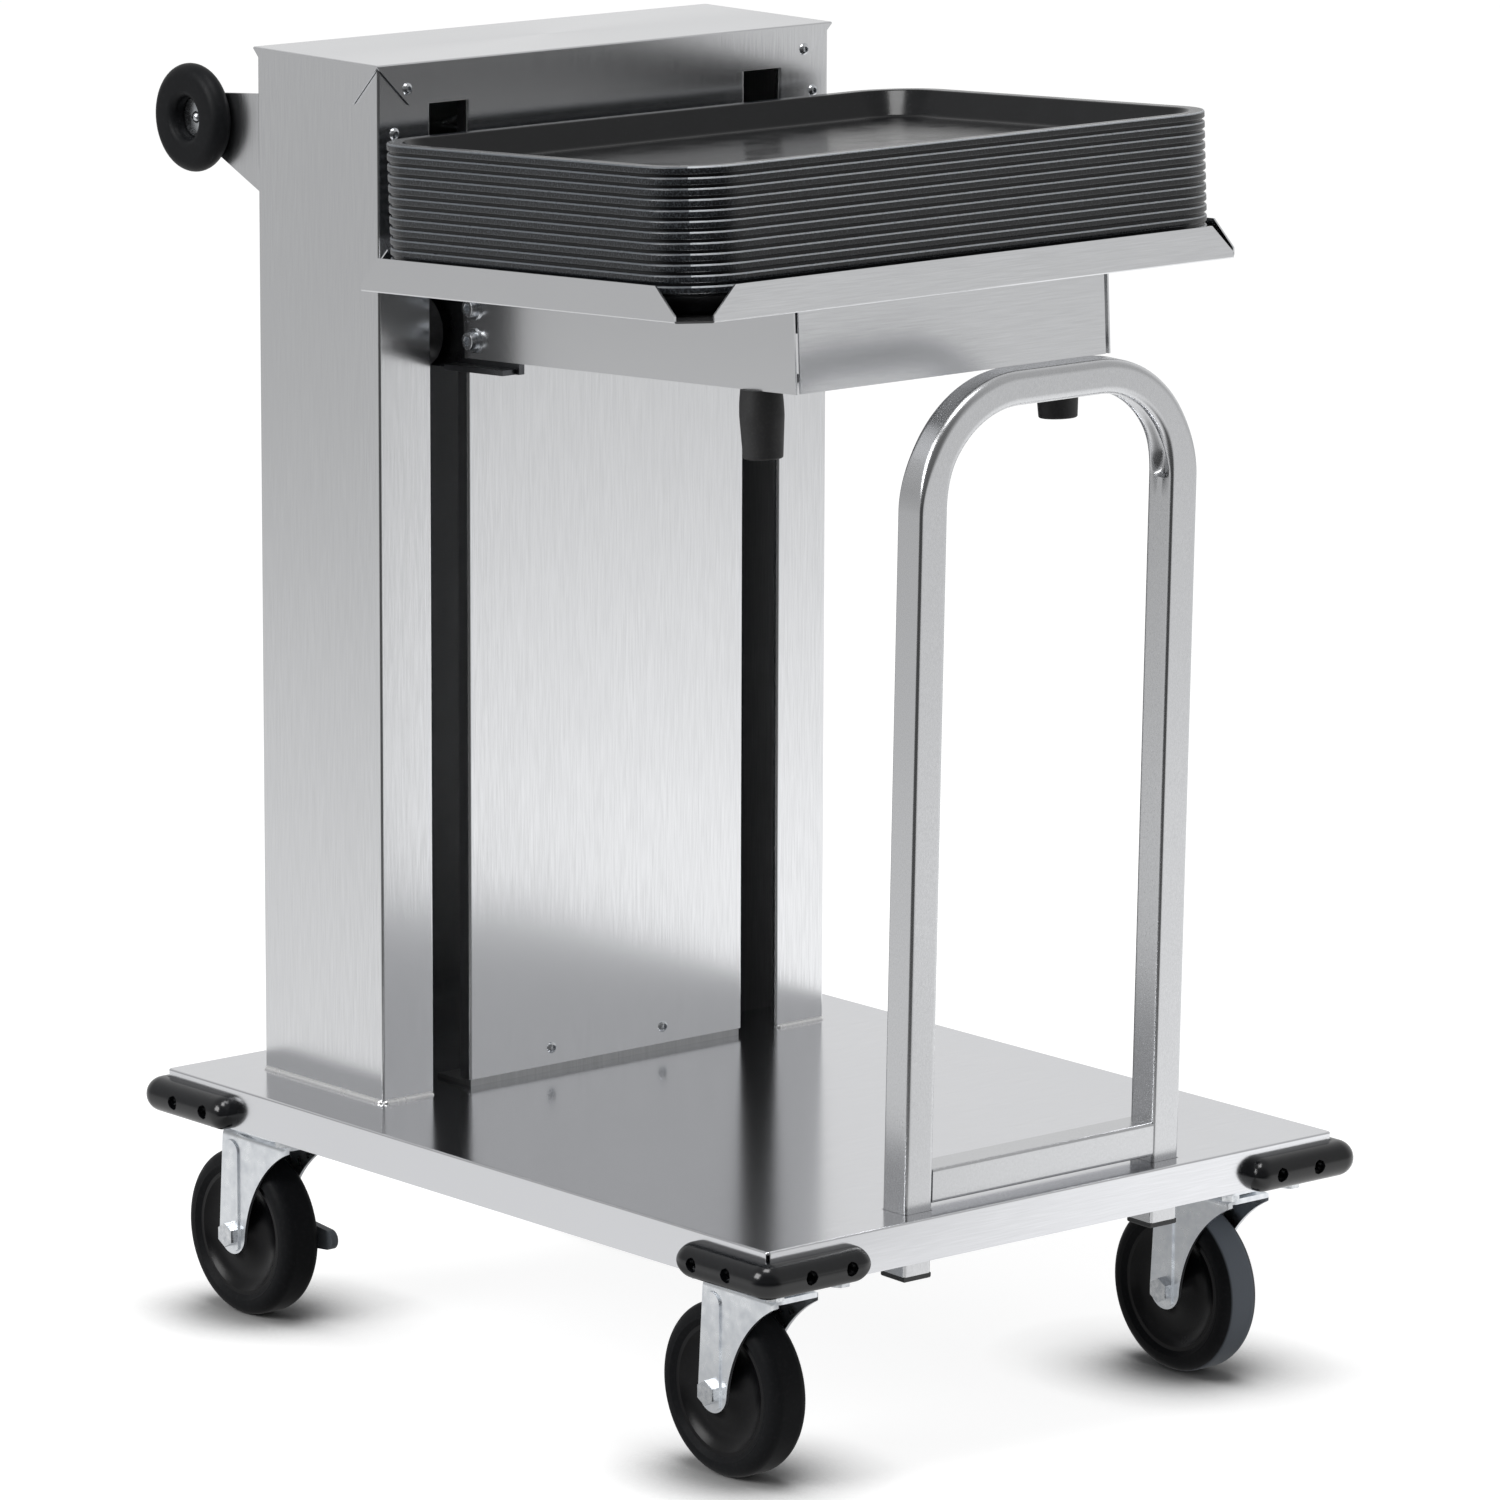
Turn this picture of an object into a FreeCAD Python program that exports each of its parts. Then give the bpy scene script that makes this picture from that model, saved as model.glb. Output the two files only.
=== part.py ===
"""Open cantilever tray dispenser on castors, in millimetres; +Z is up, the push side lies at +Y."""
import FreeCAD, Part
import math
import os
from types import SimpleNamespace

import Sketcher

SIZES = {
    # deck and castors
    "deck_w": 540, "deck_d": 696, "deck_top": 190, "deck_sheet": 2, "skirt": 31, "deck_corner": 3,
    "deck_slit": 2, "deck_lip": 10, "deck_edge": 1.5, "wheel_d": 127, "tyre_w": 33, "rim_d": 96,
    "axle_d": 8, "hub_d": 30,
    "castor_in": 53, "castor_front_in": 60, "castor_rear_in": 73.5, "castor_trail": 38, "castor_top": 158.7,
    "plate_w": 85, "plate_d": 100, "plate_t": 5, "plate_bolt_w": 60, "plate_bolt_d": 80, "seat_t": 3,
    "race_d": 62, "race_h": 9, "kingpin_d": 12, "fork_t": 2.5, "fork_side_gap": 1.5, "fork_end_r": 15.5,
    "crown_t": 4, "crown_round": 6, "fork_nose": 6, "fork_sweep": 95, "fork_rib": 1.5, "hex_af": 13,
    "hex_h": 5.5, "axle_hex": 16, "pedal_t": 6, "pedal_tip": 7.5, "pedal_reach": 60,
    "rim_dish": 22, "tyre_shoulder": 9,
    # corner bumpers
    "bumper_h": 26, "bumper_p": 16, "bumper_leg": 88.5, "bumper_z": 170.5, "bumper_round": 6.5,
    "bumper_corner": 12, "bumper_hole": 10, "bumper_hole_near": 27, "bumper_hole_far": 64, "bumper_web": 6,
    # guard hoop
    "tube": 25, "tube_wall": 1.5, "tube_round": 2.5, "hoop_half": 118, "hoop_in": 27.5, "hoop_rise": 592.5,
    "hoop_bend": 80, "hoop_stub": 45, "hoop_lean": 1.25, "bar_z": 5, "cap_plug": 14, "cap_t": 4,
    "cap_bevel": 1.5,
    # column
    "col_w": 428, "col_d": 144, "col_front": 156.5, "col_top": 958.5, "col_sheet": 1.5, "col_fold": 2,
    "col_return": 48, "panel_lip": 12, "slot_w": 34, "panel_foot": 5.5, "cap_sheet": 1.5, "cap_gap": 0.5,
    "cap_flange": 29.5, "cap_fold": 1.2, "angle_t": 3, "angle_h": 34, "angle_d": 40, "rail_t": 2,
    "rail_top": 951,
    # carriage, springs
    "run_gap": 0.3, "fit_gap": 0.05, "roller_d": 54, "roller_w": 30, "roller_off": 5, "pin_d": 12,
    "roller_z": 758, "roller_pitch": 100, "arm_t": 5, "arm_deep": 70, "arm_in_box": 53.5, "arm_reach": 40,
    "arm_out": 78, "arm_rear": 235, "arm_up": 885, "arm_lip": 12, "arm_lip_t": 4, "cross_t": 3,
    "cross_up": 880, "cross_shelf": 34, "spring_x": 70, "spring_y": 250, "spring_d": 30, "wire_d": 3.5,
    "spring_turns": 9, "spring_leg": 16, "hanger_z": 945, "hanger_half": 110, "hanger_h": 30,
    "socket_d": 13, "socket_h": 7,
    # platform, box and buffers, in a frame that tilts up to the front
    "tilt": 3, "plat_y": 132.5, "plat_z": 804.5, "plat_w": 527, "plat_d": 390.5, "plat_sheet": 1.5,
    "plat_flange": 25, "plat_fold": 1.2, "plat_cut": 19.5, "plat_step": 5, "box_w": 297, "box_front": 361.5,
    "box_h": 61.5, "box_sheet": 1.5, "box_rear": 10, "box_slit": 3, "buffer_x": 139.5, "buffer_back": 48,
    "buffer_h": 49, "buffer_d": 32, "buffer_neck_d": 29.6, "buffer_low_d": 28.6, "buffer_edge": 1.5,
    "bar_t": 4, "bar_w": 40,
    # trays
    "tray_l": 515, "tray_w": 366, "tray_corner": 51, "tray_h": 22, "tray_wall": 2.5, "tray_rim": 9,
    "tray_bead": 5.5, "tray_step": 2, "tray_flare": 13, "tray_pitch": 7.5, "tray_back": 197,
    # push handle
    "handle_y": 384, "handle_z": 899, "grip_d": 25, "grip_wall": 2, "bracket_t": 3, "bracket_x": 199,
    "bracket_low": 844, "bracket_high": 924, "bracket_end": 18, "bracket_foot": 25, "disc_d": 81,
    "disc_t": 18, "disc_back": 4, "disc_hole": 30, "disc_web": 4, "washer_t": 2,
    # dome-head screws
    "dome_r": 5.2,
}
TRAYS = 12
V = FreeCAD.Vector
X_AXIS = V(1, 0, 0)
DOC = FreeCAD.newDocument("TrayDispenser")
NODES = []


class Size:
    """A number together with the sheet formula that gives it."""

    def __init__(self, value, text):
        self.value = float(value)
        self.text = text

    def __add__(self, other):
        other = size(other)
        return Size(self.value + other.value, "(%s + %s)" % (self.text, other.text))

    def __sub__(self, other):
        other = size(other)
        return Size(self.value - other.value, "(%s - %s)" % (self.text, other.text))

    def __mul__(self, other):
        other = size(other)
        return Size(self.value * other.value, "(%s * %s)" % (self.text, other.text))

    def __truediv__(self, other):
        other = size(other)
        return Size(self.value / other.value, "(%s / %s)" % (self.text, other.text))

    def __neg__(self):
        return Size(-self.value, "(-1 * %s)" % self.text)

    def __radd__(self, other):
        return size(other) + self

    def __rsub__(self, other):
        return size(other) - self

    def __rmul__(self, other):
        return size(other) * self


def size(number):
    """Turn a plain number into a Size."""
    if isinstance(number, Size):
        return number
    return Size(number, "%.6f" % number)


def fill_sheet():
    """Write every driving size to the sheet and return them by name."""
    sheet = DOC.addObject("Spreadsheet::Sheet", "Sizes")
    for row, (name, value) in enumerate(SIZES.items(), start=1):
        sheet.set("A%d" % row, name)
        sheet.set("B%d" % row, str(value))
        sheet.setAlias("B%d" % row, name)
    DOC.recompute()
    return SimpleNamespace(**{name: Size(value, "Sizes." + name) for name, value in SIZES.items()})


dim = fill_sheet()
RISE = Size(math.tan(math.radians(SIZES["tilt"])), "tan(Sizes.tilt * 1 deg)")
# the deck's centre lies forward of the origin, which is the middle of the whole outline
DECK_Y = (dim.deck_d / 2 + dim.bumper_p - dim.handle_y - dim.disc_d / 2) / 2


def bind(thing, prop, value):
    """Tie one property to a sheet formula."""
    thing.setExpression(prop, size(value).text)


def place(thing, x=0, y=0, z=0, turn_x=0, turn_z=0):
    """Put a piece at x, y, z of the deck's frame, turned about X and then about Z."""
    turn = FreeCAD.Rotation(V(0, 0, 1), turn_z) * FreeCAD.Rotation(X_AXIS, turn_x)
    spot = [size(x), DECK_Y + y, size(z)]
    thing.Placement = FreeCAD.Placement(V(*[part.value for part in spot]), turn)
    for axis, part in zip("xyz", spot):
        bind(thing, "Placement.Base." + axis, part)
    return thing


def in_tilt(thing, x=0, y=0, z=0):
    """Put a piece in the platform's tilted frame: y runs forward from its rear edge as negative numbers."""
    slope = math.radians(SIZES["tilt"])
    x, y, z = size(x), size(y), size(z)
    cosine = Size(math.cos(slope), "cos(Sizes.tilt * 1 deg)")
    sine = Size(math.sin(slope), "sin(Sizes.tilt * 1 deg)")
    along, up = dim.plat_y + y * cosine + z * sine, dim.plat_z - y * sine + z * cosine
    return place(thing, x, along, up, -SIZES["tilt"])


def node(thing, label):
    """Register a finished piece under its own name."""
    thing.Label = label
    NODES.append(thing)
    return thing


def body(name):
    """Start a new body."""
    return DOC.addObject("PartDesign::Body", name)


def sketch(owner, plane, lift=0):
    """Start a sketch on one of the body's own planes, moved along the plane's normal by lift."""
    drawing = owner.newObject("Sketcher::SketchObject", owner.Name + "_sketch")
    base = [part for part in owner.Origin.OriginFeatures if part.Role == plane][0]
    drawing.AttachmentSupport = [(base, "")]
    drawing.MapMode = "FlatFace"
    drawing.AttachmentOffset = FreeCAD.Placement(V(0, 0, size(lift).value), FreeCAD.Rotation())
    bind(drawing, "AttachmentOffset.Base.z", lift)
    return drawing


def hold(drawing, kind, geometry, point, value):
    """Dimension one point of the drawing from the origin."""
    value = size(value)
    index = drawing.addConstraint(Sketcher.Constraint(kind, -1, 1, geometry, point, value.value))
    bind(drawing, "Constraints[%d]" % index, value)


def arc_through(start, end, radius):
    """Arc of less than a half circle: bulging to the right of the way for a positive radius, else left."""
    chord = end - start
    reach = math.sqrt(max(radius * radius - chord.Length ** 2 / 4, 0))
    side = V(-chord.y, chord.x, 0).normalize() * math.copysign(reach, radius)
    centre = start + chord / 2 + side
    first, last = (start, end) if radius > 0 else (end, start)
    angles = [math.atan2(p.y - centre.y, p.x - centre.x) for p in (first, last)]
    return Part.ArcOfCircle(Part.Circle(centre, V(0, 0, 1), abs(radius)), *angles)


def outline(drawing, corners, closed=True):
    """Draw lines and arcs through (x, y) or (x, y, radius) corners; a radius bends the stretch after it."""
    spots = [V(size(c[0]).value, size(c[1]).value, 0) for c in corners]
    count = len(corners) if closed else len(corners) - 1
    ends = []
    for i in range(count):
        start, end = spots[i], spots[(i + 1) % len(spots)]
        if len(corners[i]) == 2:
            ends.append((drawing.addGeometry(Part.LineSegment(start, end)), 1, 2))
            continue
        radius = size(corners[i][2])
        geometry = drawing.addGeometry(arc_through(start, end, radius.value))
        ends.append((geometry, 1, 2) if radius.value > 0 else (geometry, 2, 1))
        length = radius if radius.value > 0 else -radius
        index = drawing.addConstraint(Sketcher.Constraint("Radius", geometry, length.value))
        bind(drawing, "Constraints[%d]" % index, length)
    for i in range(count if closed else count - 1):
        here, after = ends[i], ends[(i + 1) % count]
        drawing.addConstraint(Sketcher.Constraint("Coincident", here[0], here[2], after[0], after[1]))
    for i in range(count):
        hold(drawing, "DistanceX", ends[i][0], ends[i][1], corners[i][0])
        hold(drawing, "DistanceY", ends[i][0], ends[i][1], corners[i][1])
    if not closed:
        hold(drawing, "DistanceX", ends[-1][0], ends[-1][2], corners[-1][0])
        hold(drawing, "DistanceY", ends[-1][0], ends[-1][2], corners[-1][1])


def block(drawing, x0, x1, y0, y1):
    """Plain rectangle."""
    outline(drawing, [(x0, y0), (x1, y0), (x1, y1), (x0, y1)])


def rounded(drawing, width, depth, radius, middle_y=0):
    """Rectangle with round corners about (0, middle_y)."""
    x, y, r = width / 2, depth / 2, size(radius)
    low, high = middle_y - y, middle_y + y
    outline(drawing, [(r - x, low), (x - r, low, r), (x, low + r), (x, high - r, r),
                      (x - r, high), (r - x, high, r), (-x, high - r), (-x, low + r, r)])


def circle(drawing, x, y, diameter):
    """Circle with its centre held from the origin."""
    radius = size(diameter) / 2
    geometry = drawing.addGeometry(Part.Circle(V(size(x).value, size(y).value, 0), V(0, 0, 1), radius.value))
    hold(drawing, "DistanceX", geometry, 3, x)
    hold(drawing, "DistanceY", geometry, 3, y)
    index = drawing.addConstraint(Sketcher.Constraint("Radius", geometry, radius.value))
    bind(drawing, "Constraints[%d]" % index, radius)


def extrude(owner, kind, drawing, length, back=False, both=False, taper=0):
    """Pad or pocket a sketch; back turns the direction round, both spreads it to the two sides."""
    feature = owner.newObject("PartDesign::" + kind, owner.Name + "_" + kind)
    feature.Profile = drawing
    feature.SideType = "Symmetric" if both else "One side"
    feature.Reversed = back
    feature.Length = size(length).value
    bind(feature, "Length", length)
    if taper:
        feature.TaperAngle = size(taper).value
        bind(feature, "TaperAngle", taper)
    drawing.Visibility = False
    return feature


def pad(owner, drawing, length, **options):
    """Raise material from a sketch."""
    return extrude(owner, "Pad", drawing, length, **options)


def pocket(owner, drawing, length, **options):
    """Cut material from a sketch and make sure that something was cut."""
    DOC.recompute()
    before = owner.Shape.Volume
    feature = extrude(owner, "Pocket", drawing, length, **options)
    DOC.recompute()
    if owner.Shape.Volume > before - 1e-3:
        raise ValueError("%s cuts nothing" % feature.Name)
    return feature


def revolve(owner, drawing, axis):
    """Turn a sketch about one of its own axes, H_Axis or V_Axis."""
    feature = owner.newObject("PartDesign::Revolution", owner.Name + "_turn")
    feature.Profile = drawing
    feature.ReferenceAxis = (drawing, [axis])
    feature.Angle = 360
    return feature


def round_edges(owner, radius, wanted):
    """Fillet every edge of the body that the wanted test accepts."""
    DOC.recompute()
    base = owner.Tip
    names = ["Edge%d" % i for i, edge in enumerate(base.Shape.Edges, start=1) if wanted(edge)]
    feature = owner.newObject("PartDesign::Fillet", owner.Name + "_round")
    feature.Base = (base, names)
    feature.Radius = size(radius).value
    bind(feature, "Radius", radius)
    return feature


def at_level(height):
    """Edge test: the whole edge lies at one height."""
    return lambda edge: edge.BoundBox.ZLength < 1e-4 and abs(edge.BoundBox.ZMin - height) < 1e-4


def upright_at(spots):
    """Edge test: an upright edge that stands on one of the plan spots (x, y), mirrored in x."""
    def wanted(edge):
        box = edge.BoundBox
        return box.ZLength > 1e-3 and box.DiagonalLength - box.ZLength < 1e-4 and any(
            abs(abs(box.XMin) - x) < 1e-3 and abs(box.YMin - y) < 1e-3 for x, y in spots)
    return wanted


def primitive(kind, name, **sizes):
    """Part primitive with its sizes bound to the sheet."""
    shape = DOC.addObject("Part::" + kind, name)
    for prop, value in sizes.items():
        setattr(shape, prop, size(value).value)
        bind(shape, prop, value)
    return shape


def group(pieces, label):
    """Separate solids that share one node."""
    bundle = DOC.addObject("Part::Compound", label)
    bundle.Links = pieces
    return node(bundle, label)


def fuse(pieces, name):
    """Join primitives into one solid."""
    joined = DOC.addObject("Part::MultiFuse", name)
    joined.Shapes = pieces
    return joined


def along_x(thing, x, y, z, outward=1):
    """Lay a primitive that stands on Z along +X, or -X for outward = -1, from a spot of the deck's frame."""
    place(thing, x, y, z)
    thing.Placement.Rotation = FreeCAD.Rotation(V(0, 1, 0), 90 * outward)
    return thing


def along_y(thing, x, y, z, forward=1):
    """Lay a primitive that stands on Z along -Y, or +Y for forward = -1."""
    place(thing, x, y, z)
    thing.Placement.Rotation = FreeCAD.Rotation(X_AXIS, 90 * forward)
    return thing


# hoop and castor places in the deck's frame
HOOP_Y = dim.hoop_in - dim.deck_d / 2
CASTOR_X = dim.deck_w / 2 - dim.castor_in
FRONT_Y = dim.castor_front_in - dim.deck_d / 2
REAR_Y = dim.deck_d / 2 - dim.castor_rear_in
CORNERS = {"front_left": (-1, FRONT_Y), "front_right": (1, FRONT_Y),
           "rear_left": (-1, REAR_Y), "rear_right": (1, REAR_Y)}
FORK_IN = dim.tyre_w / 2 + dim.fork_side_gap
FORK_OUT = FORK_IN + dim.fork_t
CROWN_TOP = dim.castor_top - dim.plate_t - dim.race_h - dim.run_gap
AXLE_Z = dim.wheel_d / 2
HEX_R = dim.hex_af / math.sqrt(3)
AXLE_HEX_R = dim.axle_hex / math.sqrt(3)


def build_deck():
    """Deck sheet with a folded skirt slit at the corners, an inward lip and square holes for the hoop."""
    deck = body("base_deck")
    flat = sketch(deck, "XY_Plane")
    rounded(flat, dim.deck_w, dim.deck_d, dim.deck_corner)
    pad(deck, flat, dim.deck_sheet, back=True)
    skirt = sketch(deck, "XY_Plane")
    inner_r = dim.deck_corner - dim.deck_sheet
    rounded(skirt, dim.deck_w, dim.deck_d, dim.deck_corner)
    rounded(skirt, dim.deck_w - 2 * dim.deck_sheet, dim.deck_d - 2 * dim.deck_sheet, inner_r)
    pad(deck, skirt, dim.skirt, back=True)
    lip = sketch(deck, "XY_Plane", -dim.skirt)
    rounded(lip, dim.deck_w, dim.deck_d, dim.deck_corner)
    edge = dim.deck_lip + dim.deck_sheet
    x, y = dim.deck_w / 2 - edge, dim.deck_d / 2 - edge
    block(lip, -x, x, -y, y)
    pad(deck, lip, dim.deck_sheet)
    holes = sketch(deck, "XY_Plane")
    half = dim.tube / 2 + dim.run_gap
    for side in (-1, 1):
        block(holes, side * dim.hoop_half - half, side * dim.hoop_half + half, HOOP_Y - half, HOOP_Y + half)
    pocket(deck, holes, dim.deck_sheet)
    slits = sketch(deck, "XY_Plane", -dim.deck_sheet)
    x, y, wide, deep = dim.deck_w / 2, dim.deck_d / 2, dim.deck_slit / 2, 2 * dim.deck_corner
    for sx, sy in ((1, 1), (-1, 1), (-1, -1), (1, -1)):
        outline(slits, [(sx * (x + wide), sy * (y - wide)), (sx * (x - wide), sy * (y + wide)),
                        (sx * (x - wide - deep), sy * (y + wide - deep)),
                        (sx * (x + wide - deep), sy * (y - wide - deep))])
    pocket(deck, slits, dim.skirt - 2 * dim.deck_sheet)
    outer = (SIZES["deck_w"] / 2, SIZES["deck_d"] / 2)
    on_rim = at_level(0)
    round_edges(deck, dim.deck_edge, lambda edge: on_rim(edge) and (
        edge.BoundBox.XMax > outer[0] - 0.01 or edge.BoundBox.XMin < 0.01 - outer[0]
        or edge.BoundBox.YMax > outer[1] - 0.01 or edge.BoundBox.YMin < 0.01 - outer[1]))
    node(place(deck, z=dim.deck_top), "base_deck")


def build_castor_seats():
    """Four channels under the deck that take the castor plates."""
    seats = []
    under = dim.deck_top - dim.deck_sheet
    for name, (side, y) in CORNERS.items():
        seat = body("seat_" + name)
        long, out = dim.plate_bolt_d + 14, dim.plate_bolt_w / 2 + 10
        section = sketch(seat, "XZ_Plane", -long / 2)
        inner = out - dim.seat_t
        low, web = dim.castor_top, dim.castor_top + dim.seat_t
        outline(section, [(-out, low), (out, low), (out, under), (inner, under), (inner, web),
                          (-inner, web), (-inner, under), (-out, under)])
        pad(seat, section, long)
        seats.append(place(seat, side * CASTOR_X, y))
    group(seats, "castor_seats")


def build_castor_plate(name, side, y):
    """Castor top plate with the ball race and the kingpin whose head keeps the fork."""
    plate = body("plate_" + name)
    flat = sketch(plate, "XY_Plane", dim.castor_top)
    rounded(flat, dim.plate_w, dim.plate_d, 10)
    pad(plate, flat, dim.plate_t, back=True)
    race = sketch(plate, "XZ_Plane")
    under = dim.castor_top - dim.plate_t
    low = under - dim.race_h
    half, pin, head = dim.race_d / 2, dim.kingpin_d / 2, dim.kingpin_d
    crown_low = CROWN_TOP - dim.crown_t - dim.run_gap
    outline(race, [(0, under), (half, under), (half, under - 4), (half - 6, low), (pin, low),
                   (pin, crown_low), (head, crown_low), (head, crown_low - 3), (head - 3, crown_low - 6),
                   (0, crown_low - 6)])
    revolve(plate, race, "V_Axis")
    node(place(plate, side * CASTOR_X, y), "castor_plate_" + name)


def build_fork(name, side, y):
    """Pressed fork: crown, two legs that sweep back to the axle, a raised rib down each leg."""
    fork = body("fork_" + name)
    trail, end = dim.castor_trail, dim.fork_end_r
    front = -(dim.race_d / 2 + 1)
    leg_top = CROWN_TOP - dim.crown_t - 2
    side_view = sketch(fork, "YZ_Plane")
    outline(side_view, [(trail + end, AXLE_Z), (trail + end - 5, CROWN_TOP), (front, CROWN_TOP),
                        (front, leg_top, -dim.fork_sweep), (trail - end, AXLE_Z, end),
                        (trail, AXLE_Z - end, end)])
    pad(fork, side_view, 2 * FORK_OUT, both=True)
    gap = sketch(fork, "YZ_Plane")
    block(gap, front - 1, trail + end + 1, AXLE_Z - end - 1, CROWN_TOP - dim.crown_t)
    pocket(fork, gap, 2 * FORK_IN, both=True)
    crown = at_level(CROWN_TOP.value)
    round_edges(fork, dim.crown_round, lambda edge: crown(edge) and edge.BoundBox.XLength < 1e-4)
    inner = end - 2
    rib_top = CROWN_TOP - dim.crown_round - 2
    rib_front, rib_rear = trail - inner * 2 / 3, trail + inner - 4
    arch, foot = (rib_rear - rib_front) / 2, AXLE_Z - inner * math.sqrt(5) / 3
    for lift, back in ((FORK_OUT, False), (-FORK_OUT, True)):
        rib = sketch(fork, "YZ_Plane", lift)
        outline(rib, [(trail + inner, AXLE_Z), (rib_rear, rib_top - arch, arch),
                      (rib_front + arch, rib_top, arch), (rib_front, rib_top - arch),
                      (rib_front, foot, inner)])
        pad(fork, rib, dim.fork_rib, back=back)
    bore = sketch(fork, "YZ_Plane")
    circle(bore, trail, AXLE_Z, dim.axle_d + 2 * dim.fit_gap)
    pocket(fork, bore, 2 * FORK_OUT + 4 * dim.fork_rib, both=True)
    kingpin = sketch(fork, "XY_Plane", CROWN_TOP)
    circle(kingpin, 0, 0, dim.kingpin_d + 2 * dim.fit_gap)
    pocket(fork, kingpin, dim.crown_t + 1)
    nose = dim.fork_nose
    for way in (-1, 1):
        corner = sketch(fork, "XY_Plane", CROWN_TOP)
        out = way * FORK_OUT
        outline(corner, [(out + way, front - 1), (out + way, front + nose), (out, front + nose, -way * nose),
                         (out - way * nose, front), (out - way * nose, front - 1)])
        pocket(fork, corner, CROWN_TOP - leg_top + nose)
    node(place(fork, side * CASTOR_X, y), "castor_fork_" + name)


def build_axle(name, side, y, braked):
    """Axle bolt with hex head and nut; on a braked castor it also carries the pedal on its right."""
    spot = (y + dim.castor_trail, AXLE_Z)
    left = side * CASTOR_X - FORK_OUT - dim.fork_rib
    right = side * CASTOR_X + FORK_OUT + dim.fork_rib
    if braked:
        right = right + dim.pedal_t + 2 * dim.run_gap
    shank = primitive("Cylinder", "axle_" + name, Radius=dim.axle_d / 2, Height=right - left)
    head = primitive("Prism", "axle_head_" + name, Circumradius=AXLE_HEX_R, Height=dim.hex_h)
    nut = primitive("Prism", "axle_nut_" + name, Circumradius=AXLE_HEX_R, Height=dim.hex_h)
    pieces = [along_x(shank, left, *spot), along_x(head, right, *spot), along_x(nut, left, *spot, -1)]
    node(fuse(pieces, "axle_whole_" + name), "castor_axle_" + name)


def build_wheel(name, side, y):
    """Dished plastic wheel and its rubber tyre, both turned about the axle."""
    wheel = body("wheel_" + name)
    rim = sketch(wheel, "XZ_Plane")
    bore, hub, bead = dim.axle_d / 2 + dim.fit_gap, dim.hub_d / 2, dim.rim_d / 2
    long, lip = FORK_IN - dim.run_gap, dim.tyre_w / 2 - 3
    outline(rim, [(-long, bore), (long, bore), (long, hub - 3, -dim.rim_dish), (lip, bead - 3), (lip, bead),
                  (-lip, bead), (-lip, bead - 3, -dim.rim_dish), (-long, hub - 3)])
    revolve(wheel, rim, "H_Axis")
    node(place(wheel, side * CASTOR_X, y + dim.castor_trail, AXLE_Z), "castor_wheel_" + name)
    tyre = body("tyre_" + name)
    ring = sketch(tyre, "XZ_Plane")
    half, top, soft = dim.tyre_w / 2, dim.wheel_d / 2, dim.tyre_shoulder
    outline(ring, [(-lip, bead), (lip, bead), (half, bead + 4), (half, top - soft, soft), (half - soft, top),
                   (soft - half, top, soft), (-half, top - soft), (-half, bead + 4)])
    revolve(tyre, ring, "H_Axis")
    node(place(tyre, side * CASTOR_X, y + dim.castor_trail, AXLE_Z), "castor_tyre_" + name)


def build_pedal(name, side, y):
    """Brake pedal on the axle beside the fork, its tongue just out in front of the wheel."""
    pedal = body("pedal_" + name)
    eye, tip, trail = dim.fork_end_r - 2, dim.pedal_tip, dim.castor_trail
    reach = trail - dim.pedal_reach
    lever = sketch(pedal, "YZ_Plane", FORK_OUT + dim.fork_rib + dim.run_gap)
    outline(lever, [(trail, AXLE_Z - eye, eye), (trail + eye, AXLE_Z, eye), (trail, AXLE_Z + eye),
                    (reach, AXLE_Z + tip, tip), (reach - tip, AXLE_Z, tip), (reach, AXLE_Z - tip)])
    circle(lever, trail, AXLE_Z, dim.axle_d + 2 * dim.fit_gap)
    pad(pedal, lever, dim.pedal_t)
    node(place(pedal, side * CASTOR_X, y), "brake_pedal_" + name)


def build_castor_bolts():
    """Hex heads under the castor plates, four to each."""
    heads = []
    for side, y in CORNERS.values():
        for dx in (-1, 1):
            for dy in (-1, 1):
                head = primitive("Prism", "plate_bolt", Circumradius=HEX_R, Height=dim.hex_h)
                spot = (side * CASTOR_X + dx * dim.plate_bolt_w / 2, y + dy * dim.plate_bolt_d / 2)
                heads.append(place(head, *spot, dim.castor_top - dim.plate_t - dim.hex_h))
    group(heads, "castor_bolts")


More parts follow.
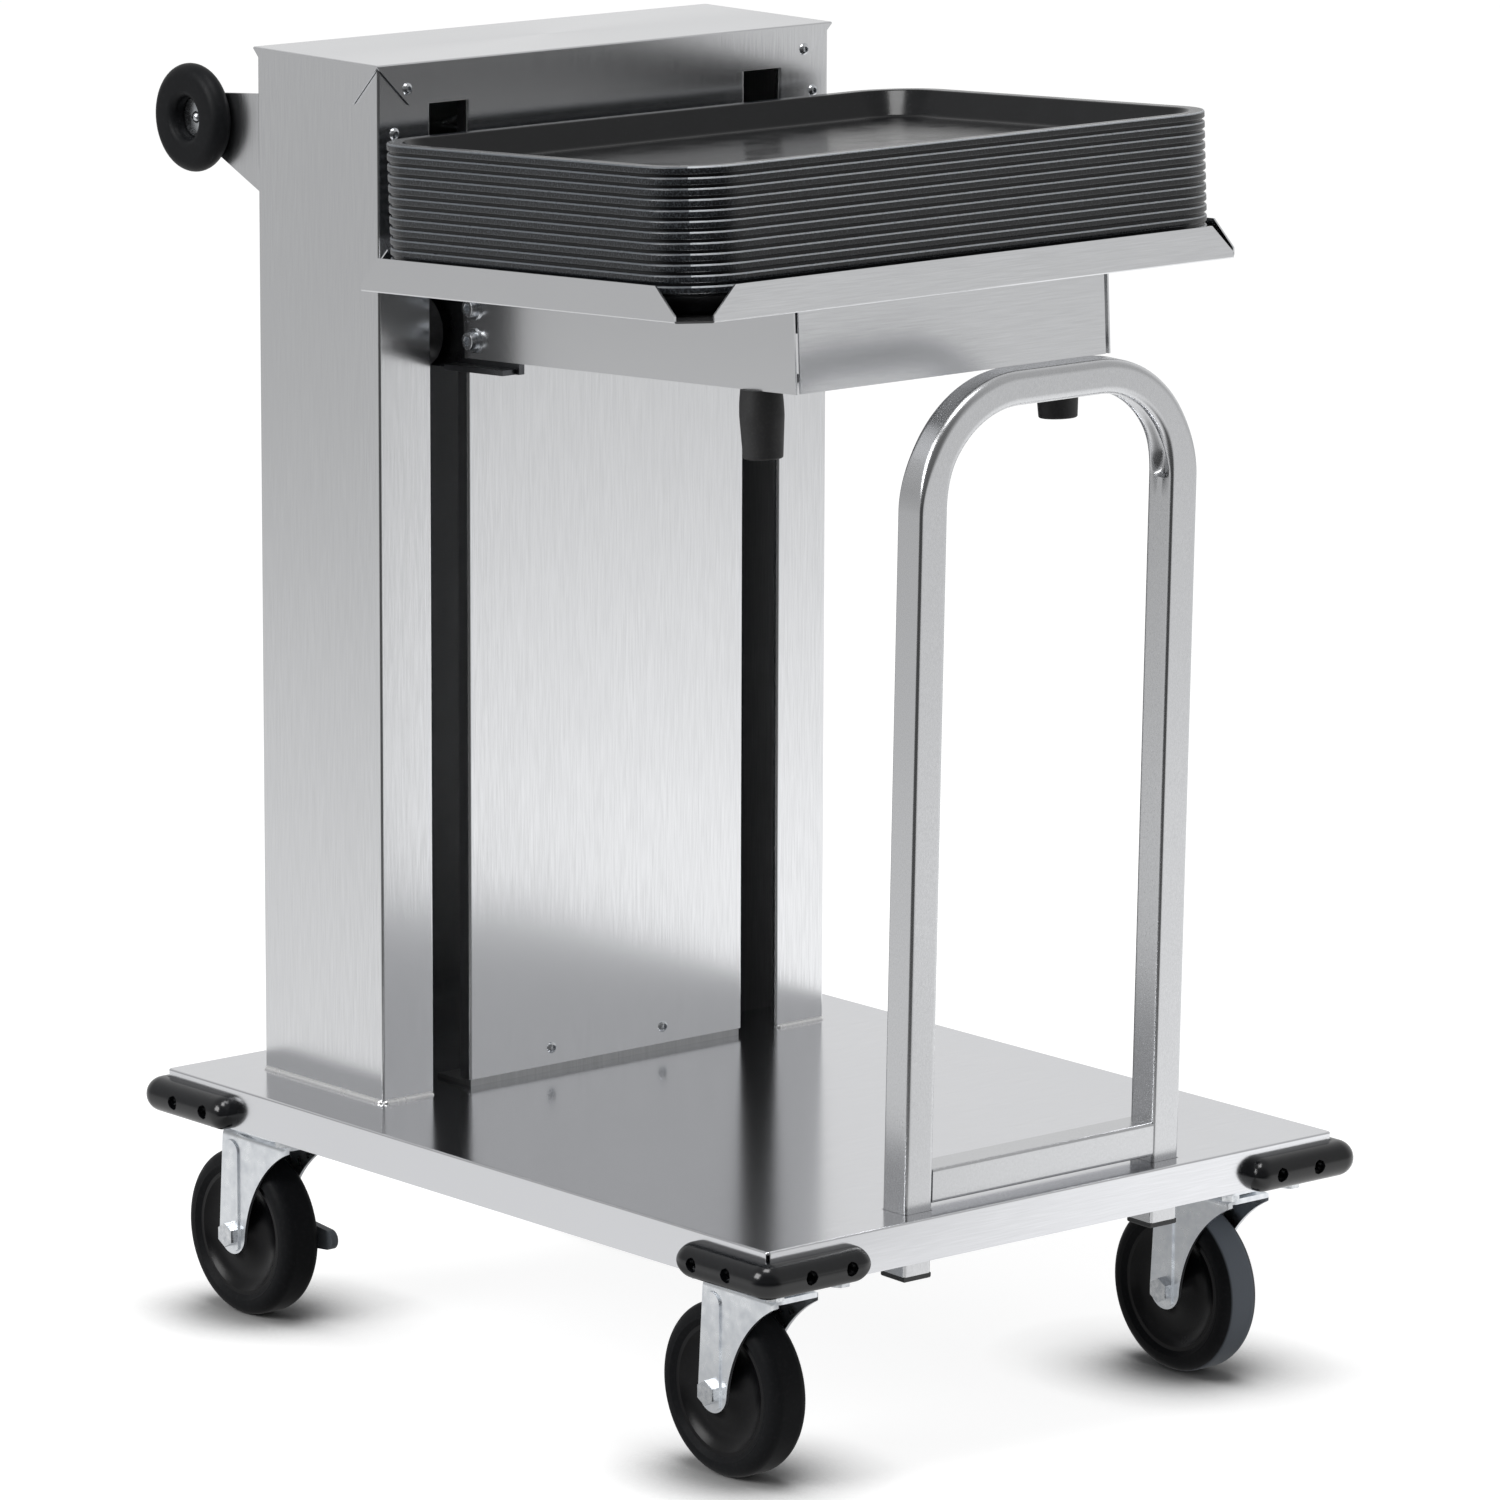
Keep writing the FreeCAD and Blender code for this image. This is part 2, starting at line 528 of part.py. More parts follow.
def build_hoop():
    """Square tube bent into an inverted U, its crossbar, and the plugs in the two stubs under the deck."""
    hoop = body("guard_hoop")
    path = sketch(hoop, "XZ_Plane")
    x, bend, top = dim.hoop_half, dim.hoop_bend, dim.hoop_rise - dim.tube / 2
    outline(path, [(-x, -dim.hoop_stub), (-x, top - bend, -bend), (bend - x, top), (x - bend, top, -bend),
                   (x, top - bend), (x, -dim.hoop_stub)], closed=False)
    section = sketch(hoop, "XY_Plane", -dim.hoop_stub)
    wall, half = dim.tube_wall, dim.tube / 2
    for r, a in ((dim.tube_round, half), (dim.tube_round - wall, half - wall)):
        outline(section, [(r - a - x, -a), (a - r - x, -a, r), (a - x, r - a), (a - x, a - r, r),
                          (a - r - x, a), (r - a - x, a, r), (-a - x, a - r), (-a - x, r - a, r)])
    sweep = hoop.newObject("PartDesign::AdditivePipe", "hoop_sweep")
    sweep.Profile = section
    sweep.Spine = (path, [])
    path.Visibility = False
    node(place(hoop, 0, HOOP_Y, dim.deck_top, SIZES["hoop_lean"]), "guard_hoop")

    bar = body("hoop_crossbar")
    ring = sketch(bar, "YZ_Plane", half - x)
    middle, hollow = dim.bar_z + half, dim.tube - 2 * wall
    rounded(ring, dim.tube, dim.tube, dim.tube_round, middle)
    rounded(ring, hollow, hollow, dim.tube_round - wall, middle)
    pad(bar, ring, 2 * x - dim.tube)
    node(place(bar, 0, HOOP_Y, dim.deck_top, SIZES["hoop_lean"]), "hoop_crossbar")

    caps = []
    for side in (-1, 1):
        cap = body("hoop_cap")
        plate = sketch(cap, "XY_Plane", -dim.hoop_stub)
        block(plate, side * x - half, side * x + half, -half, half)
        pad(cap, plate, dim.cap_t, back=True)
        plug = sketch(cap, "XY_Plane", -dim.hoop_stub)
        inner = half - wall - dim.fit_gap
        block(plug, side * x - inner, side * x + inner, -inner, inner)
        pad(cap, plug, dim.cap_plug)
        round_edges(cap, dim.cap_bevel, at_level(-SIZES["hoop_stub"] - SIZES["cap_t"]))
        caps.append(place(cap, 0, HOOP_Y, dim.deck_top, SIZES["hoop_lean"]))
    group(caps, "hoop_end_caps")


def build_bumpers():
    """Moulded corner bumpers: legs with half-round ends, a soft corner, two screw recesses in each leg."""
    screws = []
    turns = {"front_left": (-1, -1, 0), "front_right": (1, -1, 90), "rear_right": (1, 1, 180),
             "rear_left": (-1, 1, 270)}
    leg, p, half = dim.bumper_leg, dim.bumper_p, dim.bumper_h / 2
    outside = 1e-3 - SIZES["bumper_p"]
    for name, (sx, sy, turn) in turns.items():
        bumper = body("bumper_" + name)
        for plane, back in (("YZ_Plane", True), ("XZ_Plane", False)):
            face = sketch(bumper, plane)
            outline(face, [(-p, -half), (leg - half, -half, half), (leg, 0, half), (leg - half, half),
                           (-p, half)])
            pad(bumper, face, p, back=back)
        round_edges(bumper, dim.bumper_corner, upright_at([(SIZES["bumper_p"], -SIZES["bumper_p"])]))
        round_edges(bumper, dim.bumper_round, lambda edge: (
            edge.BoundBox.DiagonalLength - edge.BoundBox.ZLength > 1
            and (edge.BoundBox.XMax < outside or edge.BoundBox.YMax < outside)))
        for plane, lift, back in (("YZ_Plane", -p, True), ("XZ_Plane", p, False)):
            holes = sketch(bumper, plane, lift)
            for along in (dim.bumper_hole_near, dim.bumper_hole_far):
                circle(holes, along, 0, dim.bumper_hole)
            pocket(bumper, holes, p - dim.bumper_web, back=back)
        node(place(bumper, sx * dim.deck_w / 2, sy * dim.deck_d / 2, dim.bumper_z, 0, turn), "bumper_" + name)
        for along in (dim.bumper_hole_near, dim.bumper_hole_far):
            for face in ("side", "end"):
                screw = primitive("Sphere", "bumper_screw", Radius=dim.dome_r, Angle1=30, Angle2=90)
                seat = dim.bumper_web - dim.dome_r / 2
                if face == "side":
                    spot = (sx * (dim.deck_w / 2 + seat), sy * (dim.deck_d / 2 - along))
                    screws.append(along_x(screw, spot[0], spot[1], dim.bumper_z, sx))
                else:
                    spot = (sx * (dim.deck_w / 2 - along), sy * (dim.deck_d / 2 + seat))
                    screws.append(along_y(screw, spot[0], spot[1], dim.bumper_z, -sy))
    group(screws, "bumper_screws")


COL_X = dim.col_w / 2
COL_BACK = dim.col_front + dim.col_d
RETURN_X = COL_X - dim.col_return
PANEL_X = RETURN_X - dim.slot_w


def build_column():
    """Housing bent from one sheet: rear wall, side walls, front returns with lips that edge the slots."""
    housing = body("column_housing")
    plan = sketch(housing, "XY_Plane", dim.deck_top)
    t, front, back = dim.col_sheet, dim.col_front, COL_BACK
    edge = front + t + dim.rail_t
    right = [(RETURN_X, edge), (RETURN_X, front), (COL_X, front), (COL_X, back)]
    inner = [(COL_X - t, back - t), (COL_X - t, front + t), (RETURN_X + t, front + t), (RETURN_X + t, edge)]
    left = [(-x, y) for x, y in reversed(right)]
    outline(plan, right + left + [(-x, y) for x, y in reversed(inner)] + inner)
    pad(housing, plan, dim.col_top - dim.deck_top)
    folds = [(COL_X, front), (COL_X, back), (RETURN_X, front)]
    round_edges(housing, dim.col_fold, upright_at([(x.value, y.value) for x, y in folds]))
    node(place(housing), "column_housing")

    panel = body("front_panel")
    plan = sketch(panel, "XY_Plane", dim.deck_top + dim.panel_foot)
    lip = front + dim.panel_lip
    outline(plan, [(-PANEL_X, lip), (-PANEL_X, front), (PANEL_X, front), (PANEL_X, lip), (PANEL_X - t, lip),
                   (PANEL_X - t, front + t), (t - PANEL_X, front + t), (t - PANEL_X, lip)])
    pad(panel, plan, dim.col_top - dim.deck_top - dim.panel_foot)
    round_edges(panel, dim.col_fold, upright_at([(PANEL_X.value, front.value)]))
    node(place(panel), "front_panel")

    angle = body("foot_angle")
    section = sketch(angle, "YZ_Plane")
    y0, z0 = front + t, dim.deck_top
    y1, y2, z1, z2 = y0 + dim.angle_t, y0 + dim.angle_d, z0 + dim.angle_t, z0 + dim.angle_h
    outline(section, [(y0, z0), (y2, z0), (y2, z1), (y1, z1), (y1, z2), (y0, z2)])
    pad(angle, section, 2 * (PANEL_X - t - dim.run_gap), both=True)
    node(place(angle), "foot_angle")


def build_cap():
    """Column cap: a top sheet with four flanges whose ends are mitred at 45 degrees."""
    cap = body("column_cap")
    t, reach = dim.cap_sheet, dim.cap_gap + dim.cap_sheet
    x, front, back = COL_X + reach, dim.col_front - reach, COL_BACK + reach
    flat = sketch(cap, "XY_Plane", dim.col_top)
    block(flat, -x, x, front, back)
    pad(cap, flat, t)
    low, cut = dim.col_top - dim.cap_flange, dim.cap_flange
    for lift, way in ((-front, True), (-back, False)):
        flange = sketch(cap, "XZ_Plane", lift)
        outline(flange, [(-x, dim.col_top), (cut - x, low), (x - cut, low), (x, dim.col_top)])
        pad(cap, flange, t, back=way)
    for lift, way in ((-x, False), (x, True)):
        flange = sketch(cap, "YZ_Plane", lift)
        outline(flange, [(front, dim.col_top), (front + cut, low), (back - cut, low), (back, dim.col_top)])
        pad(cap, flange, t, back=way)
    round_edges(cap, dim.cap_fold, at_level(SIZES["col_top"] + SIZES["cap_sheet"]))
    node(place(cap), "column_cap")


ROLLER_Y = dim.col_front + dim.col_sheet + dim.rail_t + dim.run_gap + dim.roller_d / 2
ARM_X = dim.box_w / 2 - dim.box_sheet
ROLLER_X = ARM_X + dim.roller_off
CROSS_Y = dim.arm_rear - 10


def build_rails():
    """Guide channels behind the returns, open to the middle; the rollers run between their flanges."""
    rails = []
    for side in (-1, 1):
        rail = body("rail")
        plan = sketch(rail, "XY_Plane", dim.deck_top)
        t, out, mouth = dim.rail_t, COL_X - dim.col_sheet, RETURN_X + dim.col_sheet + dim.run_gap
        y0 = dim.col_front + dim.col_sheet
        y1 = ROLLER_Y + dim.roller_d / 2 + dim.run_gap + t
        shape = [(mouth, y0), (out, y0), (out, y1), (mouth, y1), (mouth, y1 - t), (out - t, y1 - t),
                 (out - t, y0 + t), (mouth, y0 + t)]
        outline(plan, [(side * x, y) for x, y in shape])
        pad(rail, plan, dim.rail_top - dim.deck_top)
        rails.append(place(rail))
    group(rails, "guide_rails")


def slope_z(y, drop):
    """Height of a line that lies drop below the platform's underside, at y of the deck's frame."""
    return dim.plat_z + (dim.plat_y - y) * RISE - drop


def build_arms():
    """Carriage side plates: they carry the rollers in the column and reach through the slots into the box."""
    for name, side in (("left", -1), ("right", 1)):
        arm = body("arm_" + name)
        plate = sketch(arm, "YZ_Plane", side * (ARM_X - dim.arm_t))
        top = dim.box_sheet + dim.run_gap
        reach, out, rear, neck = -dim.arm_reach, dim.arm_out, dim.arm_rear, dim.col_front + 10
        shallow, deep = dim.arm_in_box, dim.arm_deep
        outline(plate, [(reach, slope_z(reach, top)), (reach, slope_z(reach, shallow)),
                        (out, slope_z(out, shallow)), (out, slope_z(out, deep)), (rear, slope_z(rear, deep)),
                        (rear, dim.arm_up), (neck, dim.arm_up), (neck, slope_z(neck, top))])
        pad(arm, plate, dim.arm_t, back=side < 0)
        lip = sketch(arm, "YZ_Plane", side * ARM_X)
        start, end = out + 4, dim.col_front - 6
        high = deep - dim.arm_lip_t
        outline(lip, [(start, slope_z(start, deep)), (end, slope_z(end, deep)), (end, slope_z(end, high)),
                      (start, slope_z(start, high))])
        pad(arm, lip, dim.arm_lip, back=side < 0)
        node(place(arm), "carriage_arm_" + name)


def build_carriage():
    """Plate between the arms with a shelf for the springs, guide rollers with their pins, and arm bolts."""
    plate = body("carriage_plate")
    section = sketch(plate, "YZ_Plane")
    y0, t, low = CROSS_Y, dim.cross_t, slope_z(CROSS_Y, dim.arm_deep - 3)
    shelf = y0 + dim.cross_shelf
    outline(section, [(y0, low), (shelf, low), (shelf, low + t), (y0 + t, low + t), (y0 + t, dim.cross_up),
                      (y0, dim.cross_up)])
    pad(plate, section, 2 * (ARM_X - dim.arm_t), both=True)
    node(place(plate), "carriage_plate")

    pins = []
    for level, z in (("lower", dim.roller_z), ("upper", dim.roller_z + dim.roller_pitch)):
        pair = []
        for side in (-1, 1):
            roller = body("roller")
            ring = sketch(roller, "YZ_Plane")
            circle(ring, 0, 0, dim.roller_d)
            circle(ring, 0, 0, dim.pin_d + 2 * dim.fit_gap)
            pad(roller, ring, dim.roller_w, back=side < 0)
            pair.append(place(roller, side * ROLLER_X, ROLLER_Y, z))
            reach, wide = dim.roller_off + dim.roller_w + dim.run_gap, dim.pin_d * 0.75
            collar = primitive("Cylinder", "pin_collar", Radius=wide, Height=dim.roller_off - dim.run_gap)
            shaft = primitive("Cylinder", "pin_shaft", Radius=dim.pin_d / 2, Height=reach)
            head = primitive("Cylinder", "pin_head", Radius=wide, Height=2)
            along_x(collar, side * ARM_X, ROLLER_Y, z, side)
            along_x(shaft, side * ARM_X, ROLLER_Y, z, side)
            along_x(head, side * (ROLLER_X + dim.roller_w + dim.run_gap), ROLLER_Y, z, side)
            pins.append(fuse([collar, shaft, head], "roller_pin"))
        group(pair, "guide_rollers_" + level)
    group(pins, "roller_pins")

    bolts = []
    for side in (-1, 1):
        for drop in (24, 48):
            y = dim.arm_out + 50
            bolt = primitive("Cylinder", "arm_bolt", Radius=dim.socket_d / 2, Height=dim.socket_h)
            bolts.append(along_x(bolt, side * dim.box_w / 2, y, slope_z(y, drop), side))
    group(bolts, "arm_bolts")


def build_hanger():
    """Angle on the rear wall that the springs hang from."""
    hanger = body("spring_hanger")
    section = sketch(hanger, "YZ_Plane")
    wall, t = COL_BACK - dim.col_sheet, dim.cross_t
    front, z0 = CROSS_Y + dim.cross_t + 2, dim.hanger_z
    high = z0 + t
    low = high - dim.hanger_h
    outline(section, [(front, z0), (wall - t, z0), (wall - t, low), (wall, low), (wall, high), (front, high)])
    pad(hanger, section, 2 * dim.hanger_half, both=True)
    node(place(hanger), "spring_hanger")


def biarc(start, heading, end, leaving):
    """Two arcs that join two points with the given unit headings."""
    chord, both = end - start, heading + leaving
    a, b, c = 2 * (1 - heading.dot(leaving)), 2 * chord.dot(both), -chord.dot(chord)
    step = (-b + math.sqrt(b * b - 4 * a * c)) / (2 * a)
    joint = (start + heading * step + end - leaving * step) * 0.5
    edges = []
    for first, way, last in ((start, heading, joint), (joint, None, end)):
        if way is None:
            flipped = biarc_arc(end, -leaving, joint)
            edges.append(Part.Arc(joint, flipped, end).toShape())
        else:
            edges.append(Part.Arc(first, biarc_arc(first, way, last), last).toShape())
    return edges


def biarc_arc(start, heading, end):
    """Middle point of the arc that leaves start along heading and ends at end."""
    chord = end - start
    side = chord - heading * chord.dot(heading)
    turn = 2 * math.atan2(side.Length, chord.dot(heading))
    radius = chord.Length / (2 * math.sin(turn / 2))
    side.normalize()
    centre = start + side * radius
    return centre + (heading * math.sin(turn / 2) - side * math.cos(turn / 2)) * radius


def build_springs():
    """Two tension springs between the carriage's shelf and the hanger, each one wire from leg to leg."""
    springs = []
    low = slope_z(CROSS_Y, dim.arm_deep - 3).value + SIZES["cross_t"]
    high = SIZES["hanger_z"]
    radius = (SIZES["spring_d"] - SIZES["wire_d"]) / 2
    coil_low, coil_high = low + SIZES["spring_leg"], high - SIZES["spring_leg"]
    quarters = 4 * SIZES["spring_turns"]
    climb = (coil_high - coil_low) / quarters

    def helix(step):
        angle = step * math.pi / 2
        spot = V(radius * math.cos(angle), radius * math.sin(angle), coil_low + climb * step)
        way = V(-radius * math.sin(angle), radius * math.cos(angle), climb * 2 / math.pi)
        return spot, way.normalize()

    edges = []
    first, heading = helix(0)
    foot = V(first.x, first.y - 8, low)
    rise = V(foot.x, foot.y, low + SIZES["wire_d"])
    edges.append(Part.LineSegment(foot, rise).toShape())
    edges.extend(biarc(rise, V(0, 0, 1), first, heading))
    for step in range(quarters):
        here, after = helix(step), helix(step + 1)
        edges.extend(biarc(here[0], here[1], after[0], after[1]))
    last, leaving = helix(quarters)
    head = V(last.x, last.y + 8, high)
    fall = V(head.x, head.y, high - SIZES["wire_d"])
    edges.extend(biarc(last, leaving, fall, V(0, 0, 1)))
    edges.append(Part.LineSegment(fall, head).toShape())
    path = Part.Wire(edges)
    section = Part.Wire(Part.Circle(foot, V(0, 0, 1), SIZES["wire_d"] / 2).toShape())
    wire = path.makePipeShell([section], True, False)
    points = [helix(step / 8)[0] for step in range(8 * quarters + 1)]
    apart = [here.distanceToPoint(there) for i, here in enumerate(points) for there in points[i + 16:]]
    print("spring: least gap to itself %.2f mm" % (min(apart) - SIZES["wire_d"]))
    for side in (-1, 1):
        spring = DOC.addObject("Part::Feature", "spring")
        spring.Shape = wire
        springs.append(place(spring, side * dim.spring_x, dim.spring_y))
    group(springs, "tension_springs")


def build_platform():
    """Tray platform: a sheet with four raised flanges whose ends are cut at 45 degrees over a short step."""
    platform = body("tray_platform")
    x, d, cut, t = dim.plat_w / 2, dim.plat_d, dim.plat_cut, dim.plat_sheet
    flat = sketch(platform, "XY_Plane")
    outline(flat, [(cut - x, -d), (x - cut, -d), (x, cut - d), (x, -cut), (x - cut, 0), (cut - x, 0),
                   (-x, -cut), (-x, cut - d)])
    pad(platform, flat, t)
    step, high = dim.plat_step, dim.plat_flange
    bevel = high - step
    for lift, way in ((0, False), (d, True)):
        flange = sketch(platform, "XZ_Plane", lift)
        outline(flange, [(cut - x, 0), (x - cut, 0), (x - cut, step), (x - cut - bevel, high),
                         (cut + bevel - x, high), (cut - x, step)])
        pad(platform, flange, t, back=way)
    for lift, way in ((-x, False), (x, True)):
        flange = sketch(platform, "YZ_Plane", lift)
        outline(flange, [(cut - d, 0), (-cut, 0), (-cut, step), (-cut - bevel, high), (cut + bevel - d, high),
                         (cut - d, step)])
        pad(platform, flange, t, back=way)
    under = at_level(0)
    round_edges(platform, dim.plat_fold, lambda edge: under(edge) and (
        edge.BoundBox.XLength < 1e-4 or edge.BoundBox.YLength < 1e-4))
    node(in_tilt(platform), "tray_platform")


def build_box():
    """Box frame under the platform: a sheet folded down at the front and at cheeks over the arms."""
    box = body("support_box")
    x, front, rear = dim.box_w / 2, -dim.box_front, dim.box_rear
    t, h, slit = dim.box_sheet, dim.box_h, dim.box_slit
    flat = sketch(box, "XY_Plane")
    block(flat, -x, x, front, 0)
    pad(box, flat, t, back=True)
    face = sketch(box, "XZ_Plane", -front)
    block(face, slit + t - x, x - t - slit, -h, 0)
    pad(box, face, t, back=True)
    for lift, way in ((-x, False), (x, True)):
        cheek = sketch(box, "YZ_Plane", lift)
        block(cheek, front, rear, -h, 0)
        pad(box, cheek, t, back=way)
    node(in_tilt(box), "support_box")

    bar = primitive("Box", "bar", Length=2 * (x - t), Width=dim.bar_w, Height=dim.bar_t)
    buffer_y = front + dim.buffer_back
    node(in_tilt(bar, t - x, buffer_y - dim.bar_w / 2, -h), "buffer_bar")
    cones = []
    low, wide, neck, edge = dim.buffer_low_d / 2, dim.buffer_d / 2, dim.buffer_neck_d / 2, dim.buffer_edge
    for side in (-1, 1):
        cone = body("buffer")
        profile = sketch(cone, "XZ_Plane")
        long = dim.buffer_h
        outline(profile, [(0, 0), (low - edge, 0, edge), (low, edge), (wide, long * 0.62, long * 3),
                          (neck, long), (0, long)])
        revolve(cone, profile, "V_Axis")
        cones.append(in_tilt(cone, side * dim.buffer_x, buffer_y, -h - dim.buffer_h))
    group(cones, "rubber_buffers")


def build_trays():
    """Canteen trays: a shallow pan with flared walls and a beaded rim that stands on the rim below."""
    rim, flare, wall, h = dim.tray_rim, dim.tray_flare, dim.tray_wall, dim.tray_h
    lean = math.degrees(math.atan(SIZES["tray_flare"] / SIZES["tray_h"]))
    angle = Size(lean, "(atan(Sizes.tray_flare / Sizes.tray_h) / 1 deg)")
    mouth = 2 * (rim + wall)
    step, skirt = dim.tray_step, dim.tray_step + wall
    trays = []
    for count in range(TRAYS):
        tray = body("tray")
        pan = sketch(tray, "XY_Plane")
        inset = 2 * (rim + flare)
        rounded(pan, dim.tray_l - inset, dim.tray_w - inset, dim.tray_corner - inset / 2)
        pad(tray, pan, h, taper=angle)
        lip = sketch(tray, "XY_Plane", h - dim.tray_pitch)
        rounded(lip, dim.tray_l - 2 * step, dim.tray_w - 2 * step, dim.tray_corner - step)
        rounded(lip, dim.tray_l - 2 * skirt, dim.tray_w - 2 * skirt, dim.tray_corner - skirt)
        pad(tray, lip, dim.tray_pitch)
        bead = sketch(tray, "XY_Plane", h)
        rounded(bead, dim.tray_l, dim.tray_w, dim.tray_corner)
        rounded(bead, dim.tray_l - 2 * skirt, dim.tray_w - 2 * skirt, dim.tray_corner - skirt)
        pad(tray, bead, dim.tray_bead, back=True)
        edge = sketch(tray, "XY_Plane", h)
        rounded(edge, dim.tray_l, dim.tray_w, dim.tray_corner)
        rounded(edge, dim.tray_l - mouth, dim.tray_w - mouth, dim.tray_corner - mouth / 2)
        pad(tray, edge, wall, back=True)
        well = sketch(tray, "XY_Plane", h)
        rounded(well, dim.tray_l - mouth, dim.tray_w - mouth, dim.tray_corner - mouth / 2)
        pocket(tray, well, h - wall, taper=-angle)
        in_tilt(tray, 0, -dim.tray_back, dim.plat_sheet + count * dim.tray_pitch)
        trays.append(tray)
    group(trays[:-1], "tray_stack")
    node(trays[-1], "tray_top")


def build_handle():
    """Push handle: two brackets on the column's back, a bar between them, a ring buffer at each end."""
    discs, fasteners, brackets = [], [], []
    y, z, x = dim.handle_y, dim.handle_z, dim.bracket_x
    for side in (-1, 1):
        bracket = body("bracket")
        gusset = sketch(bracket, "YZ_Plane", side * x)
        end = dim.bracket_end
        outline(gusset, [(COL_BACK, dim.bracket_low), (y, z - end, end), (y + end, z, end), (y, z + end),
                         (COL_BACK, dim.bracket_high)])
        pad(bracket, gusset, dim.bracket_t, back=side < 0)
        foot = sketch(bracket, "XZ_Plane", -COL_BACK)
        edges = (side * (x - dim.bracket_foot), side * (x + dim.bracket_t))
        block(foot, edges[0], edges[1], dim.bracket_low, dim.bracket_high)
        pad(bracket, foot, dim.bracket_t, back=True)
        brackets.append(place(bracket))

        disc = body("disc")
        profile = sketch(disc, "XZ_Plane")
        r, hole = dim.disc_d / 2, dim.disc_hole / 2
        t, web, soft = dim.disc_t, dim.disc_web, dim.disc_back
        crest = r - t + soft
        throat = crest - hole
        outline(profile, [(0, 0), (side * web, 0), (side * web, hole),
                          (side * (t - throat), hole, side * throat), (side * t, crest, side * (t - soft)),
                          (side * soft, r, side * soft), (0, r - soft)])
        revolve(disc, profile, "H_Axis")
        discs.append(place(disc, side * (x + dim.bracket_t), y, z))

        washer = primitive("Cylinder", "washer", Radius=hole - dim.run_gap, Height=dim.washer_t)
        face = x + dim.bracket_t + web
        along_x(washer, side * face, y, z, side)
        dome = primitive("Sphere", "handle_dome", Radius=dim.dome_r, Angle1=30, Angle2=90)
        along_x(dome, side * (face + dim.washer_t - dim.dome_r / 2), y, z, side)
        fasteners.append(fuse([washer, dome], "handle_screw"))
    group(brackets, "handle_brackets")
    group(discs, "handle_discs")
    group(fasteners, "handle_screws")

    grip = body("push_bar")
    ring = sketch(grip, "YZ_Plane")
    circle(ring, 0, 0, dim.grip_d)
    circle(ring, 0, 0, dim.grip_d - 2 * dim.grip_wall)
    pad(grip, ring, 2 * x, both=True)
    node(place(grip, 0, y, z), "push_bar")


def build_dome_screws():
    """Dome heads of the cap, the returns and the front panel."""
    front = dim.col_front
    cap_face = front - dim.cap_gap - dim.cap_sheet
    spots = [(188.5, cap_face, dim.col_top - 17.5), (199, front, dim.col_top - 49.5),
             (54, front, dim.deck_top + 18.5)]
    heads = []
    for x, y, z in spots:
        for side in (-1, 1):
            head = primitive("Sphere", "dome", Radius=dim.dome_r, Angle1=30, Angle2=90)
            heads.append(along_y(head, side * x, y + dim.dome_r / 2, z))
    group(heads, "dome_screws")


def build_all():
    """Build every piece in the order in which the cart is put together."""
    build_deck()
    build_castor_seats()
    for name, (side, y) in CORNERS.items():
        braked = name.startswith("rear")
        build_castor_plate(name, side, y)
        build_fork(name, side, y)
        build_axle(name, side, y, braked)
        build_wheel(name, side, y)
        if braked:
            build_pedal(name, side, y)
    build_castor_bolts()
    build_hoop()
    build_bumpers()
    build_column()
    build_cap()
    build_rails()
    build_arms()
    build_carriage()
    build_hanger()
    build_springs()
    build_platform()
    build_box()
    build_trays()
    build_handle()
    build_dome_screws()


def write_parts():
    """Check every object and shape, then write one file for each node."""
    DOC.recompute()
    unsound = [thing.Name for thing in DOC.Objects if "Invalid" in thing.State or "Error" in thing.State]
    unsound += [piece.Label for piece in NODES
                if piece.Shape.isNull() or not piece.Shape.isValid() or piece.Shape.Volume <= 0]
    if unsound:
        raise ValueError("not sound: " + ", ".join(unsound))
    os.makedirs("parts", exist_ok=True)
    for piece in NODES:
        piece.Shape.exportStep("parts/%s.step" % piece.Label)
    print("%d nodes" % len(NODES))


build_all()
write_parts()
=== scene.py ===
"""Looks of an open cantilever tray dispenser on castors: finishes, trays, springs, screws and welds."""

import logging
import math
from collections.abc import Iterable, Sequence
from dataclasses import dataclass
from enum import Enum, IntEnum

import bmesh
import bpy
import numpy as np
from mathutils import Matrix, Vector


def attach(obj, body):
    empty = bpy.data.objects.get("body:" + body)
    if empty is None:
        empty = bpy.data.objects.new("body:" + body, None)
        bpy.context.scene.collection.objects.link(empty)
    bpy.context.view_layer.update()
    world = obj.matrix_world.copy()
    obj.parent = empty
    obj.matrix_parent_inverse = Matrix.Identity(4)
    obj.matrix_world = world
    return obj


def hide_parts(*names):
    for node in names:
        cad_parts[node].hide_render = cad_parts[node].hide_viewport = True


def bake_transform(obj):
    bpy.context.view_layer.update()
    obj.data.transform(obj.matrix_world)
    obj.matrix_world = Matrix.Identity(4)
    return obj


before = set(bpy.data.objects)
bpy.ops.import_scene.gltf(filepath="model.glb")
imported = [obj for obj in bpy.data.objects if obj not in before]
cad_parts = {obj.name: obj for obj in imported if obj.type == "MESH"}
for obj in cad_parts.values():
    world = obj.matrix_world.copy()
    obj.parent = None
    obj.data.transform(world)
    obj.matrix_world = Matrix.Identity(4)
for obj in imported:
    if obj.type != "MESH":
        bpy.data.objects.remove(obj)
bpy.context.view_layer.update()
LOG = logging.getLogger("tray_dispenser")
MM = 0.001
TURN = 2 * math.pi
CORNERS = ("front_left", "front_right", "rear_left", "rear_right")
# points closer than this many metres are one
MERGE = 1e-7
# edges that bend more than this many degrees stay sharp
SHARP = 35.0
# range of a noise pattern's values that shows
NOISE_LIMITS = (0.3, 0.7)
Material = bpy.types.Material
Tree = bpy.types.NodeTree
Socket = bpy.types.NodeSocket
Look = float | tuple | Socket
Pair = tuple[float, float]
Triple = tuple[float, float, float]


